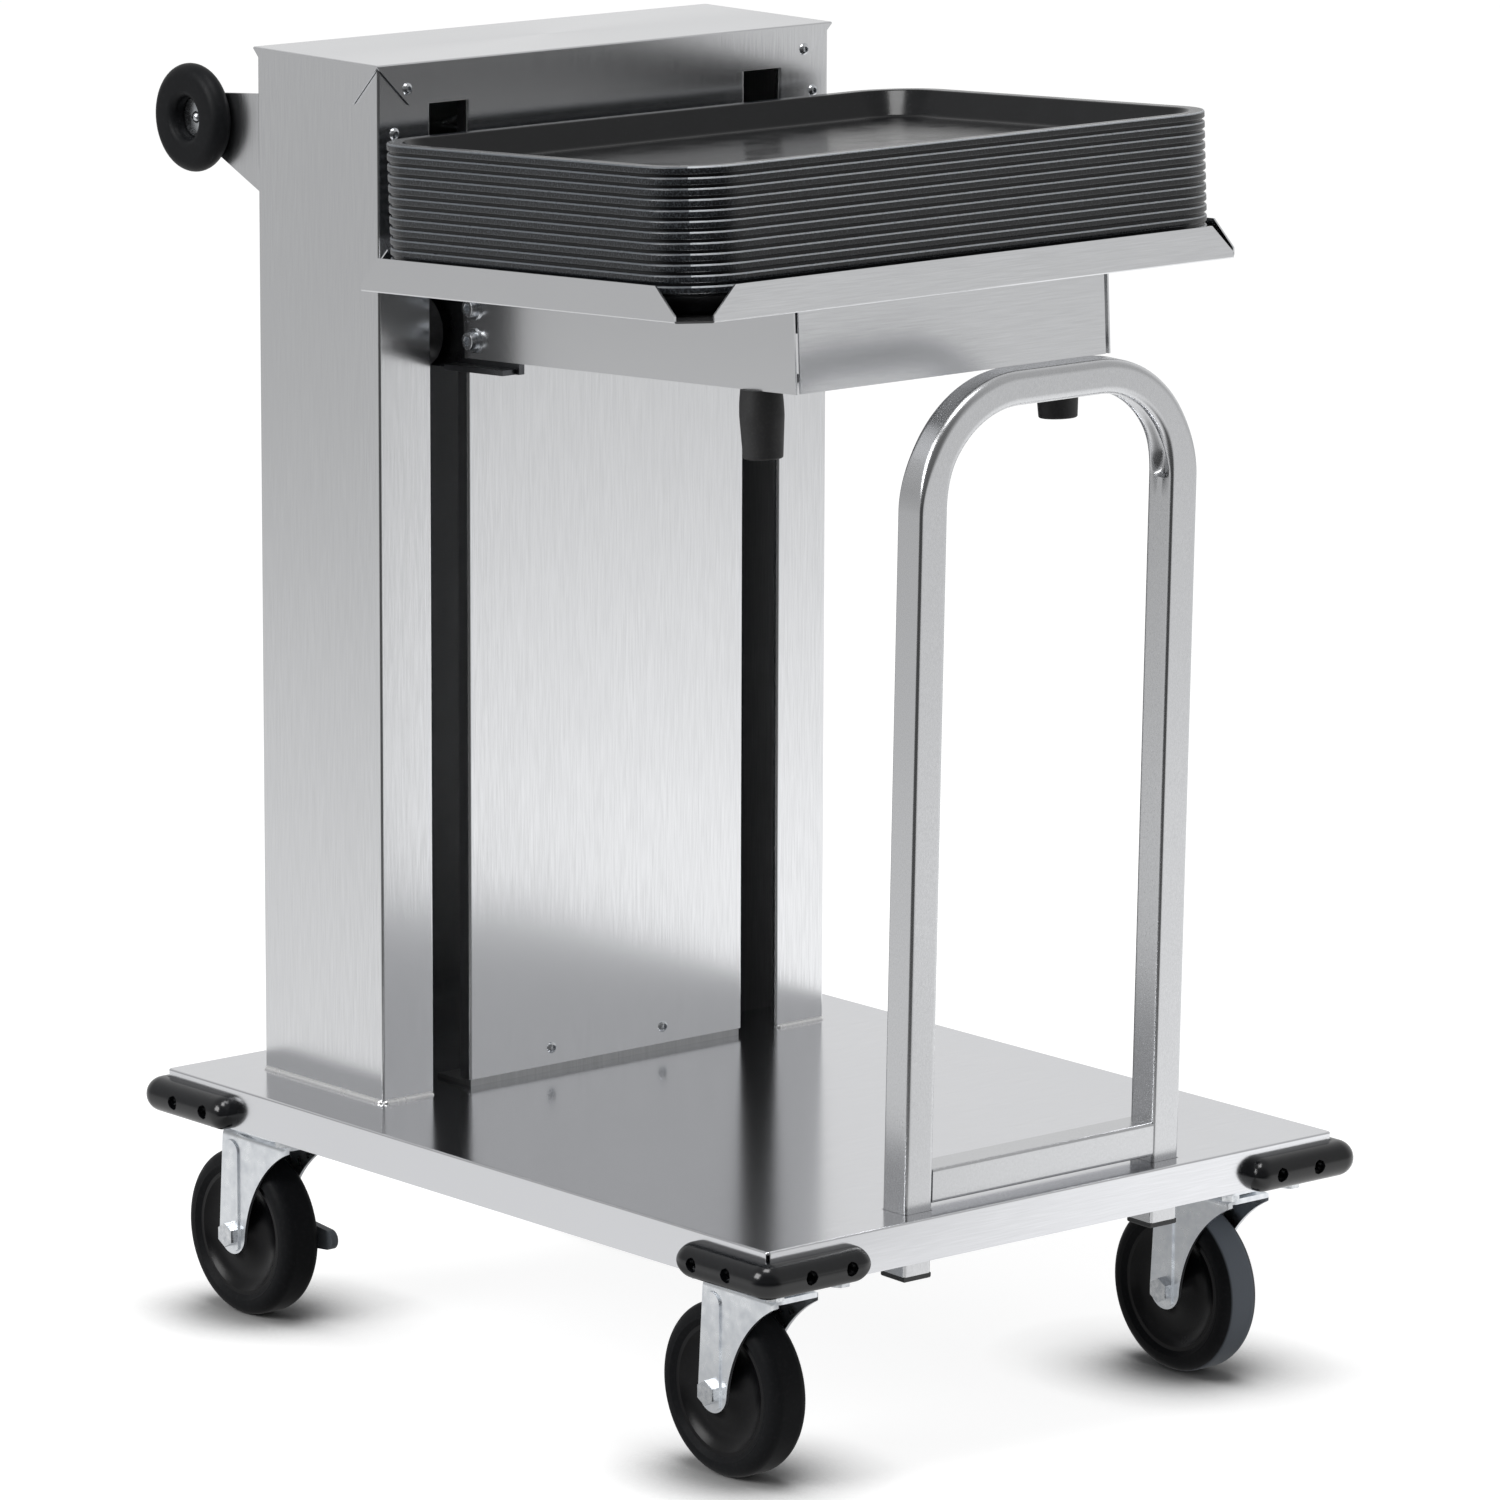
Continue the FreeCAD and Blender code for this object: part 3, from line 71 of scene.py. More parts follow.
class Slot(Enum):
    """Material slots of the record, one named for each new piece."""

    STAINLESS = "stainless"
    ZINC = "zinc"
    TRAY = "tray"
    BUMPER = "bumper"


class Grain(Enum):
    """Way in which a sheet was brushed; the value names the long axis of the scratches."""

    ACROSS = 0
    UPRIGHT = 2


class TrayLook(IntEnum):
    """Finishes of a tray, in the order of its material slots."""

    PAN = 0
    RIM = 1
    EDGE = 2
    EDGE_SIDE = 3


def linear(code: str) -> tuple[float, float, float, float]:
    """Turn an sRGB hex colour into linear RGBA.

    Args:
        code: six hex digits.

    Returns:
        The linear colour with full alpha.
    """
    parts = [int(code[i:i + 2], 16) / 255 for i in (0, 2, 4)]
    return (*[p / 12.92 if p <= 0.04045 else ((p + 0.055) / 1.055) ** 2.4 for p in parts], 1.0)


def add_node(tree: Tree, kind: str, feeds: dict | None = None, out: int | str = 0,
             **settings: object) -> Socket | None:
    """Add one node with its settings, values and links.

    Args:
        tree: node tree that takes the node.
        kind: Blender's name of the node type, less its first part.
        feeds: input name or index to a value, or to the output socket that feeds it.
        out: output to return.
        settings: properties of the node itself.

    Returns:
        The output socket, where the node has any.
    """
    node = tree.nodes.new("ShaderNode" + kind)
    for name, value in settings.items():
        setattr(node, name, value)
    for name, value in (feeds or {}).items():
        if isinstance(value, Socket):
            tree.links.new(value, node.inputs[name])
        else:
            node.inputs[name].default_value = value
    return node.outputs[out] if node.outputs else None


def noise(tree: Tree, cell_mm: Triple, detail: float = 2.0) -> Socket:
    """Cloudy pattern in Object coordinates whose cells have a real size.

    Args:
        tree: node tree of the material.
        cell_mm: size of a cell along X, Y and Z in millimetres.
        detail: octaves of finer pattern on top.

    Returns:
        Output socket with values about 0.5.
    """
    place = add_node(tree, "TexCoord", out="Object")
    scaled = add_node(tree, "Mapping", {"Vector": place, "Scale": [1 / (cell * MM) for cell in cell_mm]})
    return add_node(tree, "TexNoise", {"Vector": scaled, "Scale": 1.0, "Detail": detail})


def between(tree: Tree, pattern: Socket, first: Look, second: Look, limits: Pair = NOISE_LIMITS,
            soft: bool = False) -> Socket:
    """Number or colour that goes from first to second while a pattern runs through its limits.

    Args:
        tree: node tree of the material.
        pattern: socket to read.
        first: number, colour or colour socket at the lower limit.
        second: the same at the upper limit.
        limits: pattern values that give first and second.
        soft: start and end gently.

    Returns:
        Output socket with the number or colour.
    """
    feeds = {"Value": pattern, "From Min": limits[0], "From Max": limits[1]}
    share = add_node(tree, "MapRange", feeds, interpolation_type="SMOOTHSTEP" if soft else "LINEAR")
    if isinstance(first, float):
        return add_node(tree, "Mix", {0: share, 2: first, 3: second})
    return add_node(tree, "Mix", {0: share, 6: first, 7: second}, 2, data_type="RGBA")


def start_material(name: str, **constants: object) -> tuple[Material, Tree, bpy.types.Node]:
    """Start a node material with one shader.

    Args:
        name: name of the finish.
        constants: shader inputs that are the same all over, with underscores for spaces.

    Returns:
        The material, its tree and its shader.
    """
    material = bpy.data.materials.new(name)
    material.use_nodes = True
    tree = material.node_tree
    tree.nodes.clear()
    feeds = {key.replace("_", " "): value for key, value in constants.items()}
    shader = add_node(tree, "BsdfPrincipled", feeds)
    add_node(tree, "OutputMaterial", {"Surface": shader})
    return material, tree, shader.node


def fill_shader(tree: Tree, shader: bpy.types.Node, colour: Socket, rough: Socket, relief: Socket,
                strength: float, depth_mm: float) -> None:
    """Link colour, roughness and bump to a shader.

    Args:
        tree: node tree of the material.
        shader: its shader.
        colour: socket for the base colour.
        rough: socket for the roughness.
        relief: pattern that gives the bump its height.
        strength: share of the bump that shows.
        depth_mm: depth of the relief in millimetres.
    """
    bump = add_node(tree, "Bump", {"Height": relief, "Strength": strength, "Distance": depth_mm * MM})
    for name, socket in (("Base Color", colour), ("Roughness", rough), ("Normal", bump)):
        tree.links.new(socket, shader.inputs[name])


@dataclass(frozen=True)
class BrushedSteel:
    """Stainless sheet or tube, belt-brushed: fine scratches one way that blur reflections across it."""

    name: str
    grain: Grain
    light: str = "e9eaec"
    dark: str = "e1e2e4"
    smooth: float = 0.2
    rough: float = 0.26
    stretch: float = 0.0
    # a real scratch is finer than a pixel, so it is drawn 0.9 mm wide
    scratch_mm: float = 0.9
    length_mm: float = 30.0
    cloud_mm: float = 140.0
    cloud_share: float = 0.35
    bump: float = 0.06
    bump_mm: float = 0.02

    def build(self) -> Material:
        """Make the material.

        Returns:
            Metal with scratches in colour, roughness and bump.
        """
        material, tree, shader = start_material(self.name, Metallic=1.0, Anisotropic=self.stretch)
        cell = [self.scratch_mm] * 3
        cell[self.grain.value] = self.length_mm
        scratch = noise(tree, tuple(cell), 3.0)
        cloud = noise(tree, (self.cloud_mm,) * 3, 1.0)
        dark = linear(self.dark)
        tone = between(tree, scratch, linear(self.light), dark)
        dull = add_node(tree, "Mix", {0: self.cloud_share, 6: tone, 7: dark}, 2, data_type="RGBA")
        fill_shader(tree, shader, between(tree, cloud, tone, dull),
                    between(tree, scratch, self.smooth, self.rough), scratch, self.bump, self.bump_mm)
        if self.stretch:
            tangent = add_node(tree, "Tangent", direction_type="RADIAL", axis="Z")
            tree.links.new(tangent, shader.inputs["Tangent"])
        return material


@dataclass(frozen=True)
class PlatedSteel:
    """Pressed or turned steel with bright zinc: bluish, with soft clouds where the bath left it duller."""

    name: str
    light: str = "eff2f5"
    dark: str = "dde1e6"
    smooth: float = 0.22
    rough: float = 0.36
    cloud_mm: float = 9.0
    # crystals are finer than a pixel, so they are drawn 0.9 mm wide
    grit_mm: float = 0.9
    bump: float = 0.05
    bump_mm: float = 0.05

    def build(self) -> Material:
        """Make the material.

        Returns:
            Metal with clouded colour and roughness.
        """
        material, tree, shader = start_material(self.name, Metallic=1.0)
        cloud = noise(tree, (self.cloud_mm,) * 3, 4.0)
        tone = between(tree, cloud, linear(self.light), linear(self.dark))
        grit = noise(tree, (self.grit_mm,) * 3)
        rough = between(tree, cloud, self.smooth, self.rough)
        fill_shader(tree, shader, tone, rough, grit, self.bump, self.bump_mm)
        return material


@dataclass(frozen=True)
class Polymer:
    """Moulded plastic or rubber: one body colour with fine flecks, uneven gloss and a moulded skin."""

    name: str
    body: str
    fleck: str
    smooth: float
    rough: float
    fleck_mm: float = 2.0
    fleck_share: Pair = (0.5, 0.75)
    skin_mm: float = 0.6
    skin_depth: float = 0.08
    gloss: float = 0.5
    # dust and a painted reflection of the bright floor on a wheel's tread, whose normals stand square to the
    # axle along X
    dust_and_sheen: str = ""
    dust_edge: Pair = (0.3, 0.5)
    cloud_mm: float = 24.0
    bump: float = 0.25
    ior: float = 1.5

    def build(self) -> Material:
        """Make the material.

        Returns:
            Plastic with flecks in colour, and roughness and bump from its skin.
        """
        material, tree, shader = start_material(self.name, IOR=self.ior, Specular_IOR_Level=self.gloss)
        flecks = noise(tree, (self.fleck_mm,) * 3)
        colour = between(tree, flecks, linear(self.body), linear(self.fleck), self.fleck_share)
        # paler tread: part dust, part painted reflection of the bright floor
        if self.dust_and_sheen:
            normal = add_node(tree, "TexCoord", out="Normal")
            along = add_node(tree, "SeparateXYZ", {0: normal}, "X")
            side = add_node(tree, "Math", {0: along}, operation="ABSOLUTE")
            colour = between(tree, side, linear(self.dust_and_sheen), colour, self.dust_edge)
        cloud = noise(tree, (self.cloud_mm,) * 3, 3.0)
        skin = noise(tree, (self.skin_mm,) * 3)
        rough = between(tree, cloud, self.smooth, self.rough)
        fill_shader(tree, shader, colour, rough, skin, self.bump, self.skin_depth)
        return material


@dataclass
class Shell:
    """Points in metres with the quads between them."""

    points: np.ndarray
    quads: np.ndarray

    def placed(self, matrix: Matrix) -> "Shell":
        """Move and turn the shell.

        Args:
            matrix: 4 x 4 placement.

        Returns:
            A new shell.
        """
        turn = np.array(matrix)
        return Shell(self.points @ turn[:3, :3].T + turn[:3, 3], self.quads)


def joined(shells: Sequence[Shell]) -> Shell:
    """Put several shells into one.

    Args:
        shells: shells that share one piece.

    Returns:
        One shell that holds them all.
    """
    starts = np.cumsum([0] + [len(s.points) for s in shells[:-1]])
    return Shell(np.concatenate([s.points for s in shells]),
                 np.concatenate([s.quads + start for s, start in zip(shells, starts)]))


def grid(points: np.ndarray, wrap_rows: bool, wrap_columns: bool) -> Shell:
    """Quads between the points of a grid; a wrapped direction closes on itself.

    Args:
        points: array of rows x columns x 3.
        wrap_rows: join the last row to the first.
        wrap_columns: join the last column to the first.

    Returns:
        The shell of the grid.
    """
    rows, columns = points.shape[:2]
    index = np.arange(rows * columns).reshape(rows, columns)
    index = np.concatenate([index, index[:1]]) if wrap_rows else index
    index = np.concatenate([index, index[:, :1]], axis=1) if wrap_columns else index
    quads = np.stack([index[:-1, :-1], index[1:, :-1], index[1:, 1:], index[:-1, 1:]], axis=-1)
    return Shell(points.reshape(-1, 3), quads.reshape(-1, 4))


def around(steps: int) -> np.ndarray:
    """Angles of one turn.

    Args:
        steps: number of steps round.

    Returns:
        Column of angles.
    """
    return np.linspace(0, TURN, steps, endpoint=False)[:, None]


def turned(rings: Iterable, steps: int) -> Shell:
    """Rings about Z: x = r cos a, y = r sin a, z = h.

    Args:
        rings: radius and height of each ring in millimetres, as numbers or as columns that follow the angle.
        steps: number of steps round.

    Returns:
        A shell in metres that closes where the radius is nothing.
    """
    angle = around(steps)
    radius, height = (np.hstack([value + 0 * angle for value in column]) for column in zip(*rings))
    points = np.stack([radius * np.cos(angle), radius * np.sin(angle), height], axis=-1)
    return grid(points * MM, True, False)


def tube(path: np.ndarray, side: np.ndarray, radius: np.ndarray | float, steps: int = 12) -> Shell:
    """Round section along a path: p + r (n cos a + b sin a), with n the side made square to the path.

    Args:
        path: n x 3 points in metres.
        side: n x 3 vectors that are never along the path.
        radius: radius of the section, one number or one for each point.
        steps: number of steps round.

    Returns:
        The shell with its ends drawn to a point.
    """
    ahead = np.gradient(path, axis=0)
    ahead /= np.linalg.norm(ahead, axis=1, keepdims=True)
    normal = side - (side * ahead).sum(1, keepdims=True) * ahead
    normal /= np.linalg.norm(normal, axis=1, keepdims=True)
    other = np.cross(ahead, normal)
    angle = around(steps)
    reach = np.broadcast_to(np.asarray(radius, float), len(path))[:, None, None]
    points = path[:, None] + reach * (normal[:, None] * np.cos(angle) + other[:, None] * np.sin(angle))
    ends = np.repeat(path[[0, -1], None], steps, axis=1)
    return grid(np.concatenate([ends[:1], points, ends[1:]]), False, True)


def arc(centre: Pair, radius: float, start: float, end: float, steps: int = 6) -> np.ndarray:
    """Points on an arc: centre + radius (cos a, sin a).

    Args:
        centre: centre of the arc.
        radius: its radius.
        start: first angle in degrees.
        end: last angle in degrees.
        steps: number of points.

    Returns:
        steps x 2 array.
    """
    angle = np.radians(np.linspace(start, end, steps))
    return np.c_[centre[0] + radius * np.cos(angle), centre[1] + radius * np.sin(angle)]


def hexagon(angle: np.ndarray, across: float) -> np.ndarray:
    """Distance from a hexagon's middle to its side: half the width over flats / cos of the angle left.

    Args:
        angle: angles round the hexagon.
        across: width across flats.

    Returns:
        Radius at each angle.
    """
    left = (angle + math.pi / 6) % (math.pi / 3) - math.pi / 6
    return across / 2 / np.cos(left)


def add_object(name: str, data: bpy.types.ID) -> bpy.types.Object:
    """Put a new object into the scene.

    Args:
        name: name of the object.
        data: its mesh, lamp or camera.

    Returns:
        The object.
    """
    made = bpy.data.objects.new(name, data)
    bpy.context.scene.collection.objects.link(made)
    return made


@dataclass
class Cart:
    """Places that several sub-assemblies share, in millimetres of the deck's frame."""

    deck_y: float = -30.25
    deck_top: float = 190.0
    tilt: float = 3.0
    platform_y: float = 132.5
    platform_z: float = 804.5
    column_x: float = 214.0
    column_front: float = 156.5
    column_back: float = 300.5
    return_x: float = 166.0

    def spot(self, x: float, y: float, z: float) -> Vector:
        """Point of the deck's frame in the row's frame.

        Args:
            x: place across.
            y: place along, negative towards the front.
            z: height.

        Returns:
            The point in metres.
        """
        return Vector((x, y + self.deck_y, z)) * MM

    def tilted(self, y: float, z: float) -> Matrix:
        """Placement in the platform's tilted frame.

        Args:
            y: place along the platform, negative forward of its rear edge.
            z: place above its underside.

        Returns:
            Placement in metres.
        """
        turn = Matrix.Rotation(math.radians(-self.tilt), 4, "X")
        edge = Matrix.Translation(self.spot(0, self.platform_y, self.platform_z))
        return edge @ turn @ Matrix.Translation(Vector((0, y, z)) * MM)


def cornered(*stems: str) -> list[str]:
    """Names of nodes that stand at every corner.

    Args:
        stems: their names less the corner.

    Returns:
        The whole names.
    """
    return [f"{stem}_{corner}" for corner in CORNERS for stem in stems]


# every finish with the nodes that take it
FINISHES: tuple[tuple[BrushedSteel | PlatedSteel | Polymer, list[str]], ...] = (
    # belt-brushed sheet of the column: upright scratches blur what it mirrors sideways
    (BrushedSteel("stainless_column_sheet", Grain.UPRIGHT, stretch=0.5),
     ["column_housing", "front_panel", "column_cap", "handle_brackets"]),
    # bright rolled sheet of the deck: almost a mirror
    (BrushedSteel("stainless_deck_sheet", Grain.ACROSS, "e4e5e8", "dddee1", 0.15, 0.18), ["base_deck"]),
    # folded sheet of the platform and box
    (BrushedSteel("stainless_folded_sheet", Grain.ACROSS),
     ["tray_platform", "support_box", "buffer_bar", "push_bar"]),
    # belt-ground square tube of the hoop
    (BrushedSteel("stainless_tube", Grain.UPRIGHT, "d6d7d9", "cdced0", 0.22, 0.28, length_mm=2.0),
     ["guard_hoop", "hoop_crossbar"]),
    # hidden rails and plates, duller
    (BrushedSteel("stainless_mill_sheet", Grain.UPRIGHT, "c2c3c4", "b4b5b6", 0.35, 0.45),
     ["foot_angle", "castor_seats", "spring_hanger", "guide_rails", "carriage_plate"]),
    # fused bead, bright with slight ripples
    (PlatedSteel("stainless_weld", "f4f4f4", "ececec", 0.26, 0.32, 14.0), []),
    (PlatedSteel("zinc_bright_pressed", smooth=0.24, rough=0.38), cornered("castor_plate", "castor_fork")),
    (PlatedSteel("zinc_bright_fastener", "e2e4e6", "bfc3c8", 0.16, 0.3, 4.0),
     ["castor_bolts", "bumper_screws", "dome_screws", "handle_screws", "arm_bolts", "roller_pins",
      "tension_springs", *cornered("castor_axle")]),
    # steel of the carriage, painted darker as the shade it lies in, hardly lit inside the column
    (PlatedSteel("steel_carriage_satin", "626366", "545659", 0.26, 0.36),
     ["carriage_arm_left", "carriage_arm_right"]),
    # natural rubber tyre: matt black
    (Polymer("rubber_tyre", "161719", "1d1d1f", 0.46, 0.58, 3.0, skin_mm=0.8, gloss=0.09),
     ["castor_tyre_front_left", "castor_tyre_rear_left", "castor_tyre_rear_right"]),
    # the same rubber with a paler grey tread, part dust and part painted reflection of the bright floor, on
    # one wheel
    (Polymer("rubber_tyre_dusty", "161719", "1d1d1f", 0.46, 0.58, 3.0, skin_mm=0.8, gloss=0.09,
             dust_and_sheen="787e86"), ["castor_tyre_front_right"]),
    # polypropylene wheel, moulded with a soft gloss
    (Polymer("polypropylene_wheel", "0d0d0f", "131315", 0.26, 0.36, 4.0, gloss=0.2),
     cornered("castor_wheel")),
    # moulded vinyl bumper: glossy, so that it mirrors the skirt above it
    (Polymer("vinyl_bumper", "0f1013", "151619", 0.16, 0.22, 4.0, skin_depth=0.04, gloss=0.5),
     cornered("bumper")),
    # softer rubber of the handle's ring buffers, duller than the bumpers
    (Polymer("rubber_ring", "131416", "18191b", 0.42, 0.52, 4.0, gloss=0.12), ["handle_discs"]),
    (Polymer("polyethylene_plug", "3a3b3c", "434445", 0.42, 0.5), ["hoop_end_caps"]),
    (Polymer("nylon_pedal", "5c6166", "676c71", 0.42, 0.52),
     ["brake_pedal_rear_left", "brake_pedal_rear_right"]),
    (Polymer("rubber_buffer", "262627", "2e2e2f", 0.5, 0.62), ["rubber_buffers"]),
    (Polymer("nylon_roller", "2a2a2b", "323233", 0.38, 0.48), ["guide_rollers_upper", "guide_rollers_lower"]),
    # glass-fibre tray: near black with small pale flecks, and a gloss that mirrors the column
    (Polymer("polyester_tray_pan", "08090b", "202226", 0.16, 0.26, 1.1, (0.6, 0.76), 1.2, 0.05, gloss=0.36),
     ["tray_stack", "tray_top"]),
    # outside of the pressed rim, glossy with a mottled skin, and painted paler than the pan: the same
    # plastic, painted as lit on the rim and as in shade in the pan
    (Polymer("polyester_tray_rim", "17191c", "34373b", 0.2, 0.28, 1.6, (0.45, 0.7), 0.9, 0.1, gloss=0.55),
     []),
    # the rim's upper edge, painted pale along the front as a highlight line
    (Polymer("polyester_tray_edge", "b0b4b9", "7c8085", 0.26, 0.36, 1.2, (0.56, 0.74), gloss=0.6), []),
    # the same edge on the other sides, with its painted highlight dimmer
    (Polymer("polyester_tray_edge_side", "585c61", "3a3d41", 0.26, 0.36, 1.2, (0.56, 0.74), gloss=0.5), []),
)


def dress_nodes() -> dict[str, Material]:
    """Make every finish and give it to its nodes.

    Returns:
        Finish name to material.
    """
    made = {}
    for finish, nodes in FINISHES:
        made[finish.name] = finish.build()
        for node in nodes:
            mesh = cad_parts[node].data
            mesh.materials.clear()
            mesh.materials.append(made[finish.name])
        LOG.info("%s: %d nodes", finish.name, len(nodes))
    return made


@dataclass
class Assembly:
    """Added sub-assembly: the places and finishes that it uses, and the way its pieces are made."""

    cart: Cart
    finishes: dict[str, Material]

    def add(self, name: str, shell: Shell, body: str, slot: Slot, looks: list[str], node: str = "",
            parts: np.ndarray | None = None) -> bpy.types.Object:
        """Turn a shell into a finished piece.

        Args:
            name: name of the piece.
            shell: its surface in the row's frame.
            body: body that it rides on, or nothing for a piece that rides on none.
            slot: slot of the record that it would take its finish from; not used.
            looks: names of its finishes.
            node: CAD node that it replaces, if any.
            parts: index of the finish of each quad.

        Returns:
            The new object.
        """
        mesh = bpy.data.meshes.new(name)
        mesh.from_pydata(shell.points.tolist(), [], shell.quads.tolist())
        for look in looks:
            mesh.materials.append(self.finishes[look])
        if parts is not None:
            mesh.polygons.foreach_set("material_index", parts.astype(np.int32))
        work = bmesh.new()
        work.from_mesh(mesh)
        bmesh.ops.remove_doubles(work, verts=work.verts, dist=MERGE)
        bmesh.ops.recalc_face_normals(work, faces=work.faces)
        work.to_mesh(mesh)
        work.free()
        mesh.shade_smooth()
        mesh.set_sharp_from_angle(angle=math.radians(SHARP))
        piece = add_object(name, mesh)
        if body:
            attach(piece, body)
        if node:
            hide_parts(node)
        LOG.info("%s: %d faces on %s", name, len(mesh.polygons), body or "two bodies")
        return piece


@dataclass
class Trays(Assembly):
    """Stack of trays, each a flared pan with a rounded rim bead that stands on the rim below."""

    count: int = 12
    length: float = 515.0
    width: float = 366.0
    corner: float = 51.0
    height: float = 22.0
    wall: float = 2.5
    rim: float = 9.0
    flare: float = 13.0
    bead: float = 5.5
    step: float = 2.0
    pitch: float = 7.5
    back: float = 197.0
    floor: float = 1.5
    soft: float = 1.2
    bend: float = 5.0
    # slanted stretches in the underside's bends: steps from the foot, and from the bend below the rim
    foot_cut: tuple[Pair, ...] = ((3.0, 0.0), (-1.0, 1.5))
    upper_cut: Pair = (1.5, -2.5)
    lip: float = 2.0
    lip_back: float = 1.5
    corner_points: int = 13
    # the edge's painted highlight is full where the sine of its angle is below this, which is along the
    # front; elsewhere it is painted dimmer
    full_highlight_below: float = -0.7

    def section(self) -> tuple[np.ndarray, np.ndarray]:
        """Section from the underside's middle, out round the bead and in over the floor: inset, height.

        Returns:
            Section points in millimetres, and each stretch's look.
        """
        h, t, r = self.height, self.wall, self.soft
        foot = self.rim + self.flare
        slope = self.flare / h
        skirt = self.step + t
        under = foot - slope * (h - t)
        inner = self.rim + t
        well = inner + slope * (h - t)
        lean = math.degrees(math.atan(slope))
        half = self.width / 2
        below = np.array([(half, 0), *((foot + x, z) for x, z in self.foot_cut),
                          (under + self.upper_cut[0], h - t + self.upper_cut[1]), (under, h - t)])
        outside = np.array([(skirt, h - t), (skirt, h - self.pitch), (self.step, h - self.pitch),
                            (self.step, h - self.bead)])
        low = arc((r, h - self.bead + r), r, 270, 180)
        high = arc((r, h - r), r, 180, 90)
        mouth = arc((inner - self.lip_back, h - self.lip), self.lip, 90, lean)
        ease = self.bend * math.tan(math.radians(90 - lean) / 2)
        basin = arc((well + ease, t + self.bend), self.bend, 180 + lean, 270)
        rows = np.concatenate([below, outside, low, high, mouth, basin, [(half, t)]])
        looks = np.full(len(rows) - 1, TrayLook.PAN)
        first = len(below) + len(outside)
        edge = first + len(low)
        # the bead's outside takes the copy painted as lit
        looks[first - 1:edge + len(high) + 1] = TrayLook.RIM
        # the bead's top arc takes the painted highlight
        looks[edge:edge + len(high) - 1] = TrayLook.EDGE
        return rows, looks

    def shell(self, level: int) -> tuple[Shell, np.ndarray]:
        """One tray: the section carried round a rectangle whose corners are quarter circles.

        A point lies at corner centre + (radius - inset) (cos a, sin a); where the inset passes the radius the
        centre itself moves in. The edge carries a painted highlight, paler along the front than on the other
        sides.

        Args:
            level: place in the stack, 0 at the bottom.

        Returns:
            The shell and the material index of each quad.
        """
        rows, looks = self.section()
        count = self.corner_points
        angle = np.concatenate([np.radians(np.linspace(90 * q, 90 * q + 90, count)) for q in range(4)])
        sign = np.repeat([(1, 1), (-1, 1), (-1, -1), (1, -1)], count, axis=0)
        centre = np.array([self.length / 2 - self.corner, self.width / 2 - self.corner])
        inset = rows[:, 0][None, :]
        radius = np.maximum(self.corner - inset, 0)[..., None]
        past = np.maximum(inset - self.corner, 0)[..., None]
        middle = sign[:, None] * np.maximum(centre[None, None] - past, 0)
        ways = np.c_[np.cos(angle), np.sin(angle)][:, None]
        flat = middle + radius * ways
        heights = np.broadcast_to(rows[:, 1][None, :, None], flat.shape[:2] + (1,))
        shell = grid(np.concatenate([flat, heights], axis=2) * MM, True, False)
        place = self.cart.tilted(-self.back, self.floor + level * self.pitch)
        kept = (np.sin(angle) < self.full_highlight_below)[:, None] | (looks < TrayLook.EDGE)
        return shell.placed(place), np.where(kept, looks, TrayLook.EDGE_SIDE).ravel()

    def build(self) -> None:
        """Make the stack and the top tray."""
        looks = [f"polyester_tray_{look.name.lower()}" for look in TrayLook]
        shells, parts = zip(*(self.shell(level) for level in range(self.count)))
        self.add("trays_stacked", joined(shells[:-1]), "carriage", Slot.TRAY, looks, "tray_stack",
                 np.concatenate(parts[:-1]))
        self.add("tray_uppermost", shells[-1], "top_tray", Slot.TRAY, looks, "tray_top", parts[-1])


